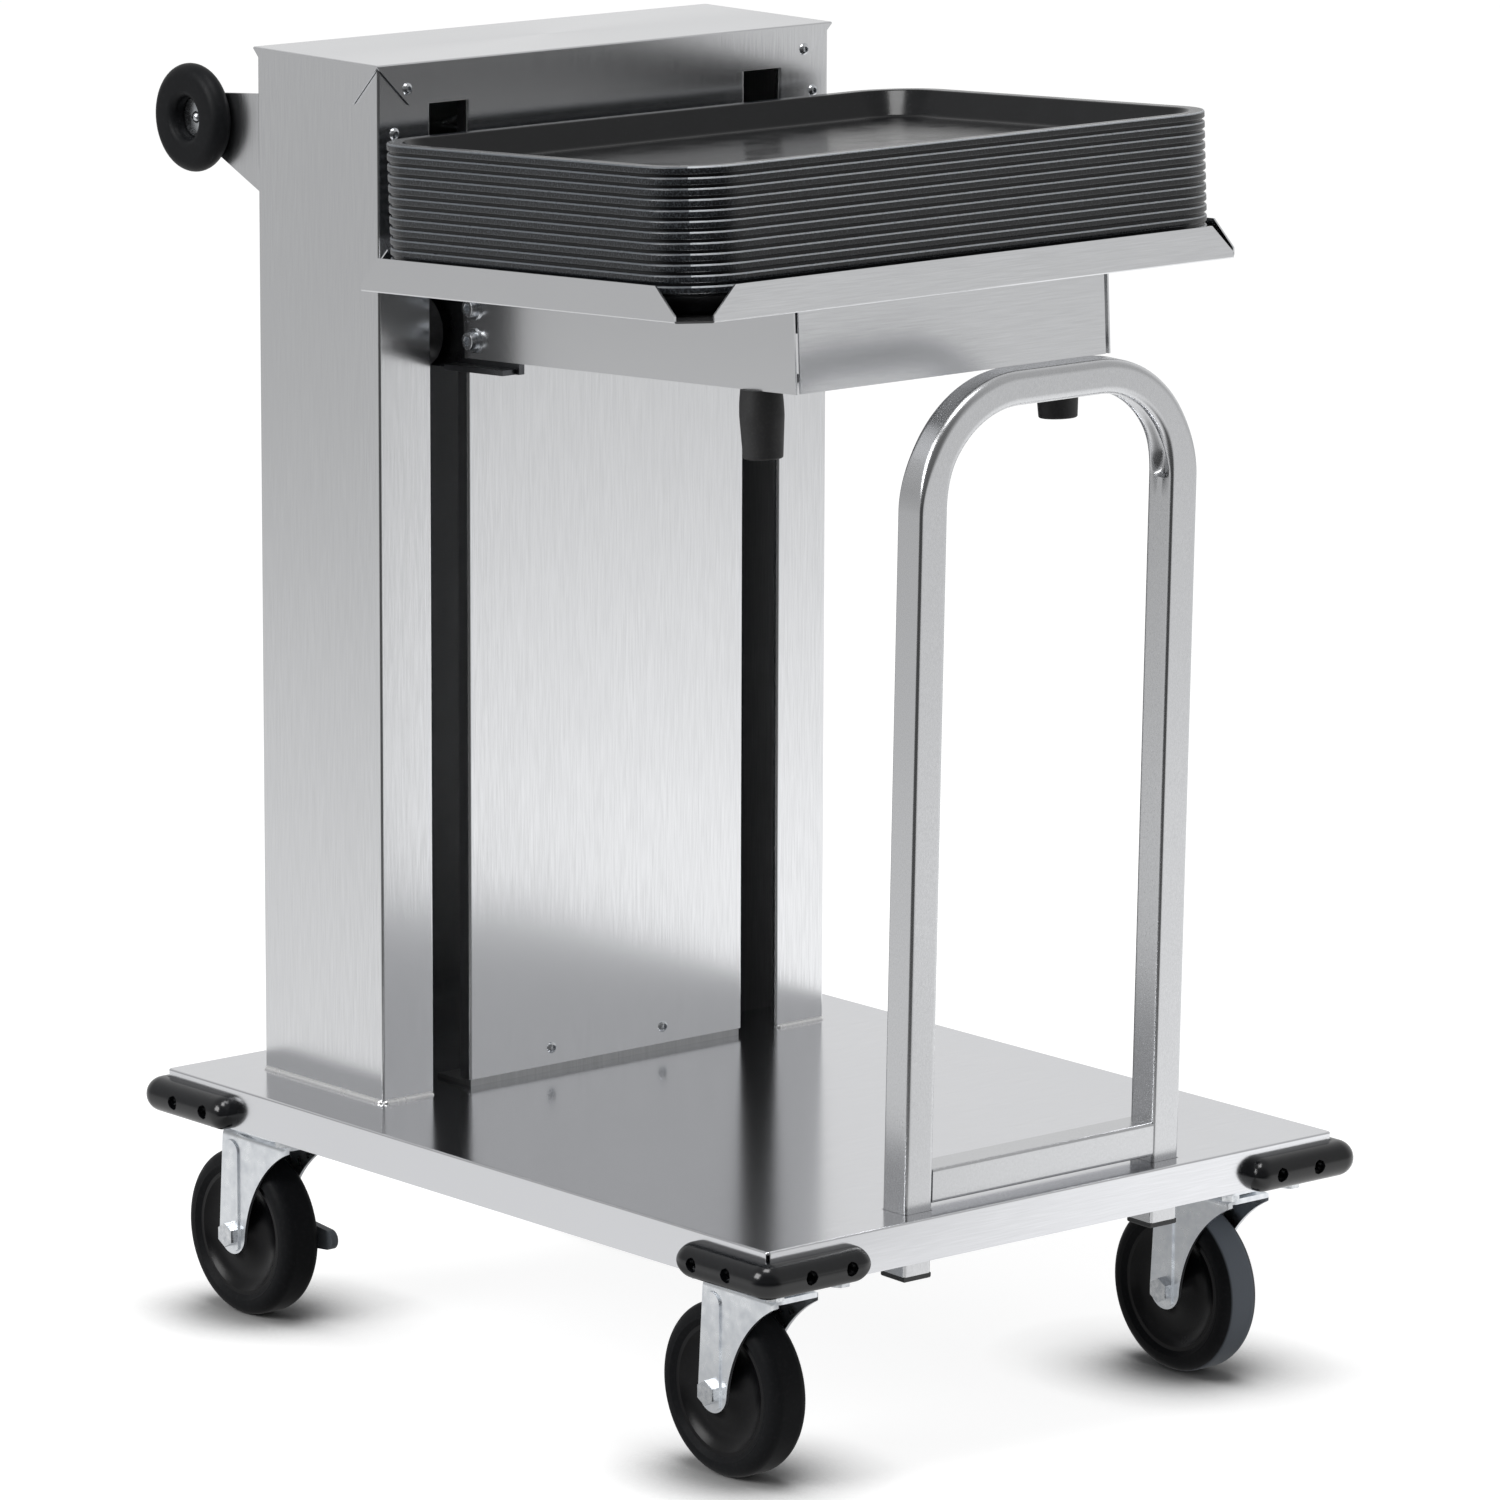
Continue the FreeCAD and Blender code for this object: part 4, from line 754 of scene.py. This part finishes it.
@dataclass
class Hoop(Assembly):
    """Guard hoop: square tube that was bent cold, so its edges round off and its inner wall is pressed in."""

    tube: float = 25.0
    half: float = 118.0
    rise: float = 580.0
    stub: float = 45.0
    bend: float = 80.0
    y: float = -320.5
    lean: float = 1.25
    edge: float = 2.2
    edge_bent: float = 5.6
    edge_run: float = 45.0
    dent: float = 6.0
    dent_run: float = 20.0
    leg_points: int = 40
    bend_points: int = 61
    top_points: int = 12
    corner_points: int = 7
    wall_points: int = 16

    def path(self) -> tuple[np.ndarray, np.ndarray, np.ndarray]:
        """Middle line of the tube: up the left leg, round two quarter circles, down the right leg.

        A point of a bend lies at its centre + bend (cos a, sin a).

        Returns:
            Points and inward vectors in the hoop's plane, and how far along a bend each point lies.
        """
        b, x, top = self.bend, self.half, self.rise
        legs = np.linspace(-self.stub, top - b, self.leg_points)
        angle = np.radians(np.linspace(180, 90, self.bend_points))[1:]
        bent = np.c_[b - x + b * np.cos(angle), top - b + b * np.sin(angle)]
        flat = np.linspace(b - x, 0, self.top_points)[1:]
        rows = np.concatenate([np.c_[0 * legs - x, legs], bent, np.c_[flat, 0 * flat + top]])
        rows = np.concatenate([rows, rows[-2::-1] * (-1, 1)])
        ahead = np.gradient(rows, axis=0)
        ahead /= np.linalg.norm(ahead, axis=1, keepdims=True)
        along = b * np.arcsin(np.clip((rows[:, 1] - top + b) / b, 0, 1))
        return rows, np.c_[ahead[:, 1], -ahead[:, 0]], along

    def section(self) -> tuple[np.ndarray, np.ndarray, np.ndarray]:
        """Round-cornered square: (a - r) S + r C, with S the corner's signs and C the unit arc about it.

        Returns:
            S and C, as points x 2 along the inward way and Y, and the dent's share at each point.
        """
        count = self.corner_points
        turn = np.radians(np.linspace(-45, 45, count))
        # the wall that follows the last corner faces the hoop's inside and is dented
        inner_wall = 3
        signs, arcs, shares = [], [], []
        for corner in range(4):
            middle = math.pi / 4 + corner * math.pi / 2
            sign = np.sign([math.cos(middle), math.sin(middle)])
            after = np.sign([math.cos(middle + math.pi / 2), math.sin(middle + math.pi / 2)])
            way = np.c_[np.cos(middle + turn), np.sin(middle + turn)]
            along = np.linspace(0, 1, self.wall_points)[1:-1]
            signs += [np.tile(sign, (count, 1)), sign + along[:, None] * (after - sign)]
            arcs += [way, np.tile(way[-1], (len(along), 1))]
            shares += [np.zeros(count), np.sin(math.pi * along) ** 2 * (corner == inner_wall)]
        return np.concatenate(signs), np.concatenate(arcs), np.concatenate(shares)

    def build(self) -> None:
        """Make the bent tube with closed ends."""
        rows, inward, along = self.path()
        signs, arcs, dents = self.section()
        soft = np.clip(along / self.edge_run, 0, 1)
        radius = (self.edge + (self.edge_bent - self.edge) * soft ** 2 * (3 - 2 * soft))[:, None, None]
        flat = (self.tube / 2 - radius) * signs + radius * arcs
        nearest = np.minimum(along, self.bend * math.pi / 2 - along)
        pressed = np.sqrt(np.clip(nearest / self.dent_run, 0, 1))
        depth = flat[..., 0] - self.dent * pressed[:, None] * dents
        line, inner = (np.c_[part[:, 0], 0 * along, part[:, 1]][:, None] for part in (rows, inward))
        points = line + depth[..., None] * inner + flat[..., 1, None] * np.array([0.0, 1.0, 0.0])
        ends = np.repeat(line[[0, -1]], points.shape[1], axis=1)
        shell = grid(np.concatenate([ends[:1], points, ends[1:]]) * MM, False, True)
        lean = Matrix.Rotation(math.radians(self.lean), 4, "X")
        place = Matrix.Translation(self.cart.spot(0, self.y, self.cart.deck_top)) @ lean
        self.add("hoop_bent_tube", shell.placed(place), "base", Slot.STAINLESS, ["stainless_tube"],
                 "guard_hoop")


@dataclass
class RingBuffers(Assembly):
    """Rubber rings at the push handle's ends: a full-round rim, a soft throat and a web behind."""

    seat_x: float = 202.0
    y: float = 384.0
    z: float = 899.0
    radius: float = 40.4
    throat: float = 15.5
    web: float = 4.0
    thick: float = 18.0
    lip: float = 6.0
    mouth_points: int = 10
    rim_points: int = 22
    steps: int = 72

    def profile(self) -> np.ndarray:
        """Half section from the axis out over the lip, round the rim's half circle and back: radius, height.

        Returns:
            Points in millimetres.
        """
        half, lip = self.thick / 2, self.lip
        mouth = arc((self.throat + lip, self.thick - lip), lip, 180, 90, self.mouth_points)
        rim = arc((self.radius - half, half), half, 90, -90, self.rim_points)
        return np.concatenate([[(0, self.web), (self.throat, self.web)], mouth, rim, [(0, 0)]])

    def build(self) -> None:
        """Make both rings."""
        profile = self.profile()
        ring = turned(profile, self.steps)
        rings = []
        for side in (-1, 1):
            place = Matrix.Translation(self.cart.spot(side * self.seat_x, self.y, self.z))
            rings.append(ring.placed(place @ Matrix.Rotation(math.radians(90 * side), 4, "Y")))
        # the first stretch of the section is the washer in the throat
        washer = np.tile(np.arange(len(profile) - 1) == 0, len(rings) * self.steps)
        self.add("handle_ring_buffers", joined(rings), "base", Slot.BUMPER,
                 ["rubber_ring", "zinc_bright_fastener"], "handle_discs", washer)


@dataclass
class Bumpers(Assembly):
    """Corner bumpers: a half-round section round the deck's corner, with blunt noses and screw recesses."""

    half_x: float = 270.0
    half_y: float = 348.0
    z: float = 170.5
    leg: float = 86.5
    depth: float = 15.98
    radius: float = 13.0
    recess: float = 5.0
    recess_at: Pair = (27.0, 64.0)
    web: float = 6.0
    # points lie close together over a recess and this far past its edge
    margin: float = 0.8
    fine_points: int = 29
    far_points: int = 8
    far_gap: float = 5.0
    nose_points: int = 12
    leg_points: int = 14
    turn_points: int = 15

    def section(self) -> np.ndarray:
        """Half circle of depth r cos a and height r sin a, set out from the skirt.

        Returns:
            Points in millimetres, from the skirt's upper side round to its lower side.
        """
        r, reach = self.radius, self.recess + self.margin
        near = np.degrees(np.arcsin(np.linspace(reach, -reach, self.fine_points) / r))
        far = np.linspace(90, near[0] + self.far_gap, self.far_points)
        angle = np.radians(np.concatenate([far, near, -far[::-1]]))
        rows = np.c_[self.depth - r + r * np.cos(angle), r * np.sin(angle)]
        return np.concatenate([[(0, r)], rows, [(0, -r)]])

    def shell(self) -> np.ndarray:
        """One bumper about the deck's corner: edge point + out (depth) + up (height).

        Toward a leg's end the height shrinks as a quarter circle and the depth as its root; points
        within a recess drop to its floor.

        Returns:
            Grid of points in millimetres, with X and Y leading inward along the legs.
        """
        r, straight, reach = self.radius, self.leg - self.radius, self.recess + self.margin
        fine = [np.linspace(at - reach, at + reach, self.fine_points) for at in self.recess_at]
        nose = straight + r * np.sin(np.linspace(0, math.pi / 2, self.nose_points))
        leg = np.unique(np.concatenate([np.linspace(0, straight, self.leg_points), nose, *fine]))
        turn = np.radians(np.linspace(0, 90, self.turn_points))[1:-1]
        along = np.concatenate([leg[::-1], 0 * turn, leg])[:, None]
        angle = np.concatenate([0 * leg, turn, 0 * leg + math.pi / 2])
        first = (angle < math.pi / 4)[:, None]
        shrink = np.sqrt(1 - np.clip((along - straight) / r, 0, 1) ** 2)
        out, high = self.section().T
        depth, height = out * np.sqrt(shrink), high * shrink
        apart = np.min([np.hypot(along - at, height) for at in self.recess_at], axis=0)
        depth = np.where(apart < self.recess, np.minimum(depth, self.web), depth)
        x = np.where(first, along, 0) - np.sin(angle)[:, None] * depth
        y = np.where(first, 0, along) - np.cos(angle)[:, None] * depth
        return np.stack([x, y, height], axis=-1)

    def build(self) -> None:
        """Make the four bumpers, each the mirror image of its neighbour."""
        local = self.shell()
        for corner in CORNERS:
            away = np.array([1 if "right" in corner else -1, 1 if "rear" in corner else -1, -1])
            middle = np.array(self.cart.spot(away[0] * self.half_x, away[1] * self.half_y, self.z))
            shell = grid(middle - away * local * MM, False, True)
            self.add(f"half_round_bumper_{corner}", shell, "base", Slot.BUMPER, ["vinyl_bumper"],
                     f"bumper_{corner}")


@dataclass
class Springs(Assembly):
    """Two tension springs in the column that stretch as the platform goes down."""

    x: float = 70.0
    y: float = 250.0
    low: float = 735.65
    high: float = 945.0
    outer: float = 30.0
    wire: float = 3.5
    turns: int = 9
    leg: float = 16.0
    turn_points: int = 24
    end_points: int = 6
    end_y: float = 8.0
    # share of the leg by which an end leaves upright
    end_pull: float = 0.5

    def path(self) -> tuple[np.ndarray, np.ndarray]:
        """Middle line of the wire: a leg, a helix (R cos a, R sin a, climbing evenly) and a leg.

        A leg is the curve (1 - s)^2 p + 2 s (1 - s) q + s^2 r.

        Returns:
            Points and outward vectors, in millimetres about the spring's axis.
        """
        radius = (self.outer - self.wire) / 2
        angle = np.linspace(0, TURN * self.turns, self.turn_points * self.turns + 1)
        rise = np.linspace(self.low + self.leg, self.high - self.leg, len(angle))
        out = np.c_[np.cos(angle), np.sin(angle), 0 * angle]
        coil = out * radius + np.c_[0 * angle, 0 * angle, rise]
        ease = np.linspace(0, 1, self.end_points)[:, None]
        foot = np.array([radius, -self.end_y, self.low])
        head = np.array([radius, self.end_y, self.high])
        pull = np.array([0, 0, self.leg * self.end_pull])
        start, end = ((1 - ease) ** 2 * p + 2 * ease * (1 - ease) * q + ease ** 2 * r
                      for p, q, r in ((foot, foot + pull, coil[0]), (coil[-1], head - pull, head)))
        points = np.concatenate([start[:-1], coil, end[1:]])
        extra = self.end_points - 1
        sides = np.concatenate([np.repeat(out[:1], extra, 0), out, np.repeat(out[-1:], extra, 0)])
        return points, sides

    def build(self) -> None:
        """Make both springs between the column's top and the carriage, on no body, and bake their placement.
        """
        points, sides = self.path()
        coils = []
        for side in (-1, 1):
            centre = np.array(self.cart.spot(side * self.x, self.y, 0))
            coils.append(tube(points * MM + centre, sides, self.wire / 2 * MM))
        piece = self.add("springs_coiled", joined(coils), "", Slot.ZINC, ["zinc_bright_fastener"],
                         "tension_springs")
        self.cart.spot(0, self.y, self.high)
        self.cart.spot(0, self.y, self.low)
        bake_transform(piece)


@dataclass
class Fasteners(Assembly):
    """Screws whose recesses show: dome heads and cap screws on washers, all with hexagon sockets."""

    dome: float = 5.2
    dome_arc: Pair = (30.0, 62.0)
    dome_points: int = 8
    dome_steps: int = 48
    dome_spots: tuple[Triple, ...] = (
        (188.5, 154.5, 941.0), (199.0, 156.5, 909.0), (54.0, 156.5, 208.5))
    socket: float = 4.0
    socket_deep: float = 1.6
    # the dome's socket at its mouth and its floor, as shares of its width
    socket_mouth: float = 1.03
    socket_foot: float = 0.98
    edge: float = 0.2
    cap_d: float = 12.8
    cap_high: float = 7.0
    cap_round: float = 0.7
    cap_socket: float = 6.4
    cap_deep: float = 4.0
    cap_mouth: float = 1.05
    cap_steps: int = 72
    washer_d: float = 18.0
    washer_t: float = 1.6
    washer_bevel: float = 0.4
    box_half: float = 148.5
    bolt_y: float = 128.0
    bolt_drops: Pair = (24.0, 48.0)

    def dome_head(self) -> Shell:
        """Dome head on Z: a sphere's cap, then a hexagon socket whose radius follows the angle.

        Returns:
            The shell in metres, with its seat at z = 0.
        """
        r = self.dome
        cap = np.radians(np.linspace(*self.dome_arc, self.dome_points))
        six = hexagon(around(self.dome_steps), self.socket)
        lip = np.sqrt(r * r - six ** 2) - r / 2
        floor = lip.min() - self.socket_deep
        return turned([(0, 0), *zip(r * np.cos(cap), r * np.sin(cap) - r / 2), (six * self.socket_mouth, lip),
                       (six, lip - self.edge), (six * self.socket_foot, floor), (0, floor)], self.dome_steps)

    def cap_screw(self) -> Shell:
        """Cylinder head on a washer, on Z, with a hexagon socket whose radius follows the angle.

        Returns:
            The shell in metres, with its seat at z = 0.
        """
        wide, t, bevel = self.washer_d / 2, self.washer_t, self.washer_bevel
        r, h, soft, edge = self.cap_d / 2, self.cap_high, self.cap_round, self.edge
        six = hexagon(around(self.cap_steps), self.cap_socket)
        floor = h - self.cap_deep
        return turned([(0, 0), (wide, 0), (wide, t - bevel), (wide - bevel, t), (r, t), (r, h - soft),
                       (r - edge, h - edge), (r - soft, h), (six * self.cap_mouth, h), (six, h - edge),
                       (six, floor), (0, floor)], self.cap_steps)

    def build(self) -> None:
        """Make the heads where the solids have them."""
        looks = ["zinc_bright_fastener"]
        forward = Matrix.Rotation(math.radians(90), 4, "X")
        heads = [self.dome_head().placed(Matrix.Translation(self.cart.spot(side * x, y, z)) @ forward)
                 for x, y, z in self.dome_spots for side in (-1, 1)]
        self.add("dome_screws_socket", joined(heads), "base", Slot.ZINC, looks, "dome_screws")
        rise = math.tan(math.radians(self.cart.tilt))
        bolts = []
        for side in (-1, 1):
            out = Matrix.Rotation(math.radians(90 * side), 4, "Y")
            for drop in self.bolt_drops:
                z = self.cart.platform_z + (self.cart.platform_y - self.bolt_y) * rise - drop
                spot = self.cart.spot(side * self.box_half, self.bolt_y, z)
                bolts.append(self.cap_screw().placed(Matrix.Translation(spot) @ out))
        self.add("arm_cap_screws", joined(bolts), "carriage", Slot.ZINC, looks, "arm_bolts")


@dataclass
class Welds(Assembly):
    """Fused seam round the column's foot."""

    bead: float = 2.7
    ripple: float = 0.12
    ripple_mm: float = 5.0
    # an end tapers over this length, to the root of this share
    taper: float = 3.0
    tip: float = 0.05
    least_points: int = 8
    steps: int = 10

    def seam(self, start: Vector, end: Vector) -> Shell:
        """Straight bead whose radius swells and shrinks as a sine along it.

        Args:
            start: first end in metres.
            end: last end in metres.

        Returns:
            The bead.
        """
        first, last = np.array(start), np.array(end)
        length = float(np.linalg.norm(last - first))
        share = np.linspace(0, 1, max(int(length / MM), self.least_points))[:, None]
        radius = self.bead + self.ripple * np.sin(share[:, 0] * length / (self.ripple_mm * MM) * TURN)
        ends = np.minimum(1, np.minimum(share, 1 - share)[:, 0] * length / (self.taper * MM))
        up = np.tile([0.0, 0.0, 1.0], (len(share), 1))
        radius *= np.sqrt(np.maximum(ends, self.tip)) * MM
        return tube(first + share * (last - first), up, radius, self.steps)

    def build(self) -> None:
        """Run the bead along both sides and the front returns."""
        c = self.cart
        runs = []
        for side in (-1, 1):
            back, corner, inner = (c.spot(side * x, y, c.deck_top) for x, y in (
                (c.column_x, c.column_back), (c.column_x, c.column_front), (c.return_x, c.column_front)))
            runs += [self.seam(back, corner), self.seam(corner, inner)]
        self.add("column_foot_weld", joined(runs), "base", Slot.STAINLESS, ["stainless_weld"])


def rays(tree: Tree) -> tuple[Socket, Socket]:
    """Tell rays apart.

    Args:
        tree: node tree of the floor or the world.

    Returns:
        Sockets that are 1 for rays from the camera, also through see-through pieces, and for mirror rays.
    """
    path = add_node(tree, "LightPath").node.outputs
    feeds = {0: path["Is Camera Ray"], 1: path["Is Transmission Ray"]}
    return add_node(tree, "Math", feeds, operation="ADD", use_clamp=True), path["Is Glossy Ray"]


@dataclass
class Studio:
    """Pale floor, soft light with one dark flag for the metal to mirror, and the camera."""

    floor_size: float = 120.0
    floor_colour: str = "a4a4a4"
    ambient: float = 0.42
    glow: float = 0.86
    # the floor's glow goes where things stand closer than this, by the share of the sky that is open, which
    # paints a contact shadow round the tyres
    contact: float = 0.11
    contact_samples: int = 12
    contact_limits: Pair = (0.62, 0.98)
    # mirrored floor: level under the cart, a painted shadow, and far off, where the floor's light is painted
    # to fall away, and the distances in metres over which it changes
    under_level: float = 0.4
    under_run: Pair = (0.3, 0.62)
    off_level: float = 0.58
    off_run: Pair = (0.5, 5.5)
    flag_run: Pair = (0.7, 1.2)
    # dark flag: where it stands, its edge as cosines from there, its level, and its share in the walls
    flag_way: Triple = (-0.646, -0.763, 0.0)
    flag_edge: Pair = (0.26, 0.77)
    flag_level: float = 0.09
    flag_share: float = 0.75
    bright_way: Triple = (0.763, -0.646, 0.0)
    bright_share: float = 0.16
    # walls from far behind the cart to its sides, with the cosines over which they change
    far_level: float = 0.79
    wall_level: float = 0.46
    wall_edge: Pair = (-0.85, -0.1)
    lamp_aim: Triple = (0.0, 0.0, 0.5)
    lamps: tuple[tuple[str, Triple, float, float], ...] = (
        ("key_panel", (-3.6, 0.6, 2.6), 2.0, 100.0), ("top_panel", (-0.7, -0.5, 3.4), 1.2, 36.0))
    camera_at: Triple = (-4.00541, -4.76991, 1.72853)
    azimuth: float = -40.25
    elevation: float = 11.608
    roll: float = 0.194
    lens: float = 207.18
    sensor: float = 36.0
    clip_end: float = 200.0

    def flagged(self, tree: Tree, way: Socket, share: Socket | float) -> Socket:
        """Level of the surroundings by their direction: dark where the flag stands, brighter on the right.

        Args:
            tree: node tree of the floor or the world.
            way: unit vector from the middle of the studio.
            share: how much of the flag shows, 0 to 1.

        Returns:
            Output socket with the level.
        """
        cosines = [add_node(tree, "VectorMath", {0: way, 1: axis}, "Value", operation="DOT_PRODUCT")
                   for axis in (self.flag_way, self.bright_way)]
        dark = between(tree, cosines[0], 0.0, self.flag_level - 1, self.flag_edge, True)
        flag, side = (add_node(tree, "Math", {0: level, 1: part, 2: 1.0}, operation="MULTIPLY_ADD")
                      for level, part in ((dark, share), (cosines[1], self.bright_share)))
        return add_node(tree, "Math", {0: flag, 1: side}, operation="MULTIPLY")

    def build_floor(self) -> None:
        """Lay the floor: diffuse for shadows, a glow that fades under the tyres as a painted contact shadow,
        levels for mirror rays.
        """
        half = self.floor_size / 2
        corners = np.array([[(-half, -half, 0), (half, -half, 0)], [(-half, half, 0), (half, half, 0)]])
        mesh = bpy.data.meshes.new("studio_floor")
        shell = grid(corners, False, False)
        mesh.from_pydata(shell.points.tolist(), [], shell.quads[:, ::-1].tolist())
        add_object("studio_floor", mesh)
        material = bpy.data.materials.new("studio_floor")
        material.use_nodes = True
        tree = material.node_tree
        tree.nodes.clear()
        place = add_node(tree, "TexCoord", out="Object")
        away = add_node(tree, "VectorMath", {0: place}, "Value", operation="LENGTH")
        way = add_node(tree, "VectorMath", {0: place}, operation="NORMALIZE")
        seen, glossy = rays(tree)
        feeds = {"Distance": self.contact}
        open_sky = add_node(tree, "AmbientOcclusion", feeds, "AO", samples=self.contact_samples)
        glow = between(tree, open_sky, 0.0, self.glow, self.contact_limits)
        shown = add_node(tree, "Math", {0: seen, 1: glow}, operation="MULTIPLY")
        plain = add_node(tree, "BsdfDiffuse", {"Color": linear(self.floor_colour)})
        shine = add_node(tree, "Emission", {"Strength": shown})
        both = add_node(tree, "AddShader", {0: plain, 1: shine})
        mirrored = self.flagged(tree, way, between(tree, away, 0.0, 1.0, self.flag_run, True))
        falls = (self.under_level, 1.0, self.under_run), (1.0, self.off_level, self.off_run)
        for first, second, run in falls:
            fall = between(tree, away, first, second, run, True)
            mirrored = add_node(tree, "Math", {0: mirrored, 1: fall}, operation="MULTIPLY")
        mirror = add_node(tree, "Emission", {"Strength": mirrored})
        split = add_node(tree, "MixShader", {0: glossy, 1: both, 2: mirror})
        add_node(tree, "OutputMaterial", {"Surface": split})
        mesh.materials.append(material)

    def build_world(self) -> None:
        """White surroundings for camera rays, flagged ones for mirror rays, a plain level for the rest."""
        world = bpy.data.worlds.new("studio")
        bpy.context.scene.world = world
        world.use_nodes = True
        tree = world.node_tree
        tree.nodes.clear()
        seen, glossy = rays(tree)
        feeds = {0: seen, 1: 1 - self.ambient, 2: self.ambient}
        base = add_node(tree, "Math", feeds, operation="MULTIPLY_ADD")
        way = add_node(tree, "TexCoord", out="Object")
        behind = add_node(tree, "VectorMath", {0: way, 1: self.flag_way}, "Value", operation="DOT_PRODUCT")
        walls = between(tree, behind, self.far_level, self.wall_level, self.wall_edge, True)
        flag = self.flagged(tree, way, self.flag_share)
        mirrored = add_node(tree, "Math", {0: walls, 1: flag}, operation="MULTIPLY")
        level = add_node(tree, "Mix", {0: glossy, 2: base, 3: mirrored})
        sky = add_node(tree, "Background", {"Color": linear("ffffff"), "Strength": level})
        add_node(tree, "OutputWorld", {"Surface": sky})

    def build_lights(self) -> None:
        """Two soft panels: the key high on the left, a smaller one above."""
        for name, at, side, watts in self.lamps:
            lamp = bpy.data.lights.new(name, "AREA")
            lamp.shape = "SQUARE"
            lamp.size = side
            lamp.energy = watts
            turn = (Vector(self.lamp_aim) - Vector(at)).to_track_quat("-Z", "Y")
            add_object(name, lamp).matrix_world = Matrix.Translation(at) @ turn.to_matrix().to_4x4()

    def build_camera(self) -> None:
        """Stand the camera where the photograph was taken from."""
        a, e, r = np.radians([self.azimuth, self.elevation, self.roll])
        back = Vector((math.sin(a) * math.cos(e), -math.cos(a) * math.cos(e), math.sin(e)))
        right = Vector((math.cos(a), math.sin(a), 0))
        up = back.cross(right)
        right, up = math.cos(r) * right + math.sin(r) * up, math.cos(r) * up - math.sin(r) * right
        lens = bpy.data.cameras.new("photo_camera")
        lens.sensor_width = self.sensor
        lens.lens = self.lens
        lens.clip_end = self.clip_end
        camera = add_object("photo_camera", lens)
        turn = Matrix((right, up, back)).transposed().to_4x4()
        camera.matrix_world = Matrix.Translation(self.camera_at) @ turn
        bpy.context.scene.camera = camera

    def build(self) -> None:
        """Set up the studio."""
        bpy.context.scene.view_settings.view_transform = "Standard"
        self.build_floor()
        self.build_world()
        self.build_lights()
        self.build_camera()


def main() -> None:
    """Dress the nodes, add the pieces and set up the studio."""
    logging.basicConfig(level=logging.INFO, format="%(name)s: %(message)s")
    Studio().build()
    cart, finishes = Cart(), dress_nodes()
    for kind in (Trays, Hoop, Bumpers, RingBuffers, Springs, Fasteners, Welds):
        kind(cart, finishes).build()


if __name__ == "__main__":
    main()
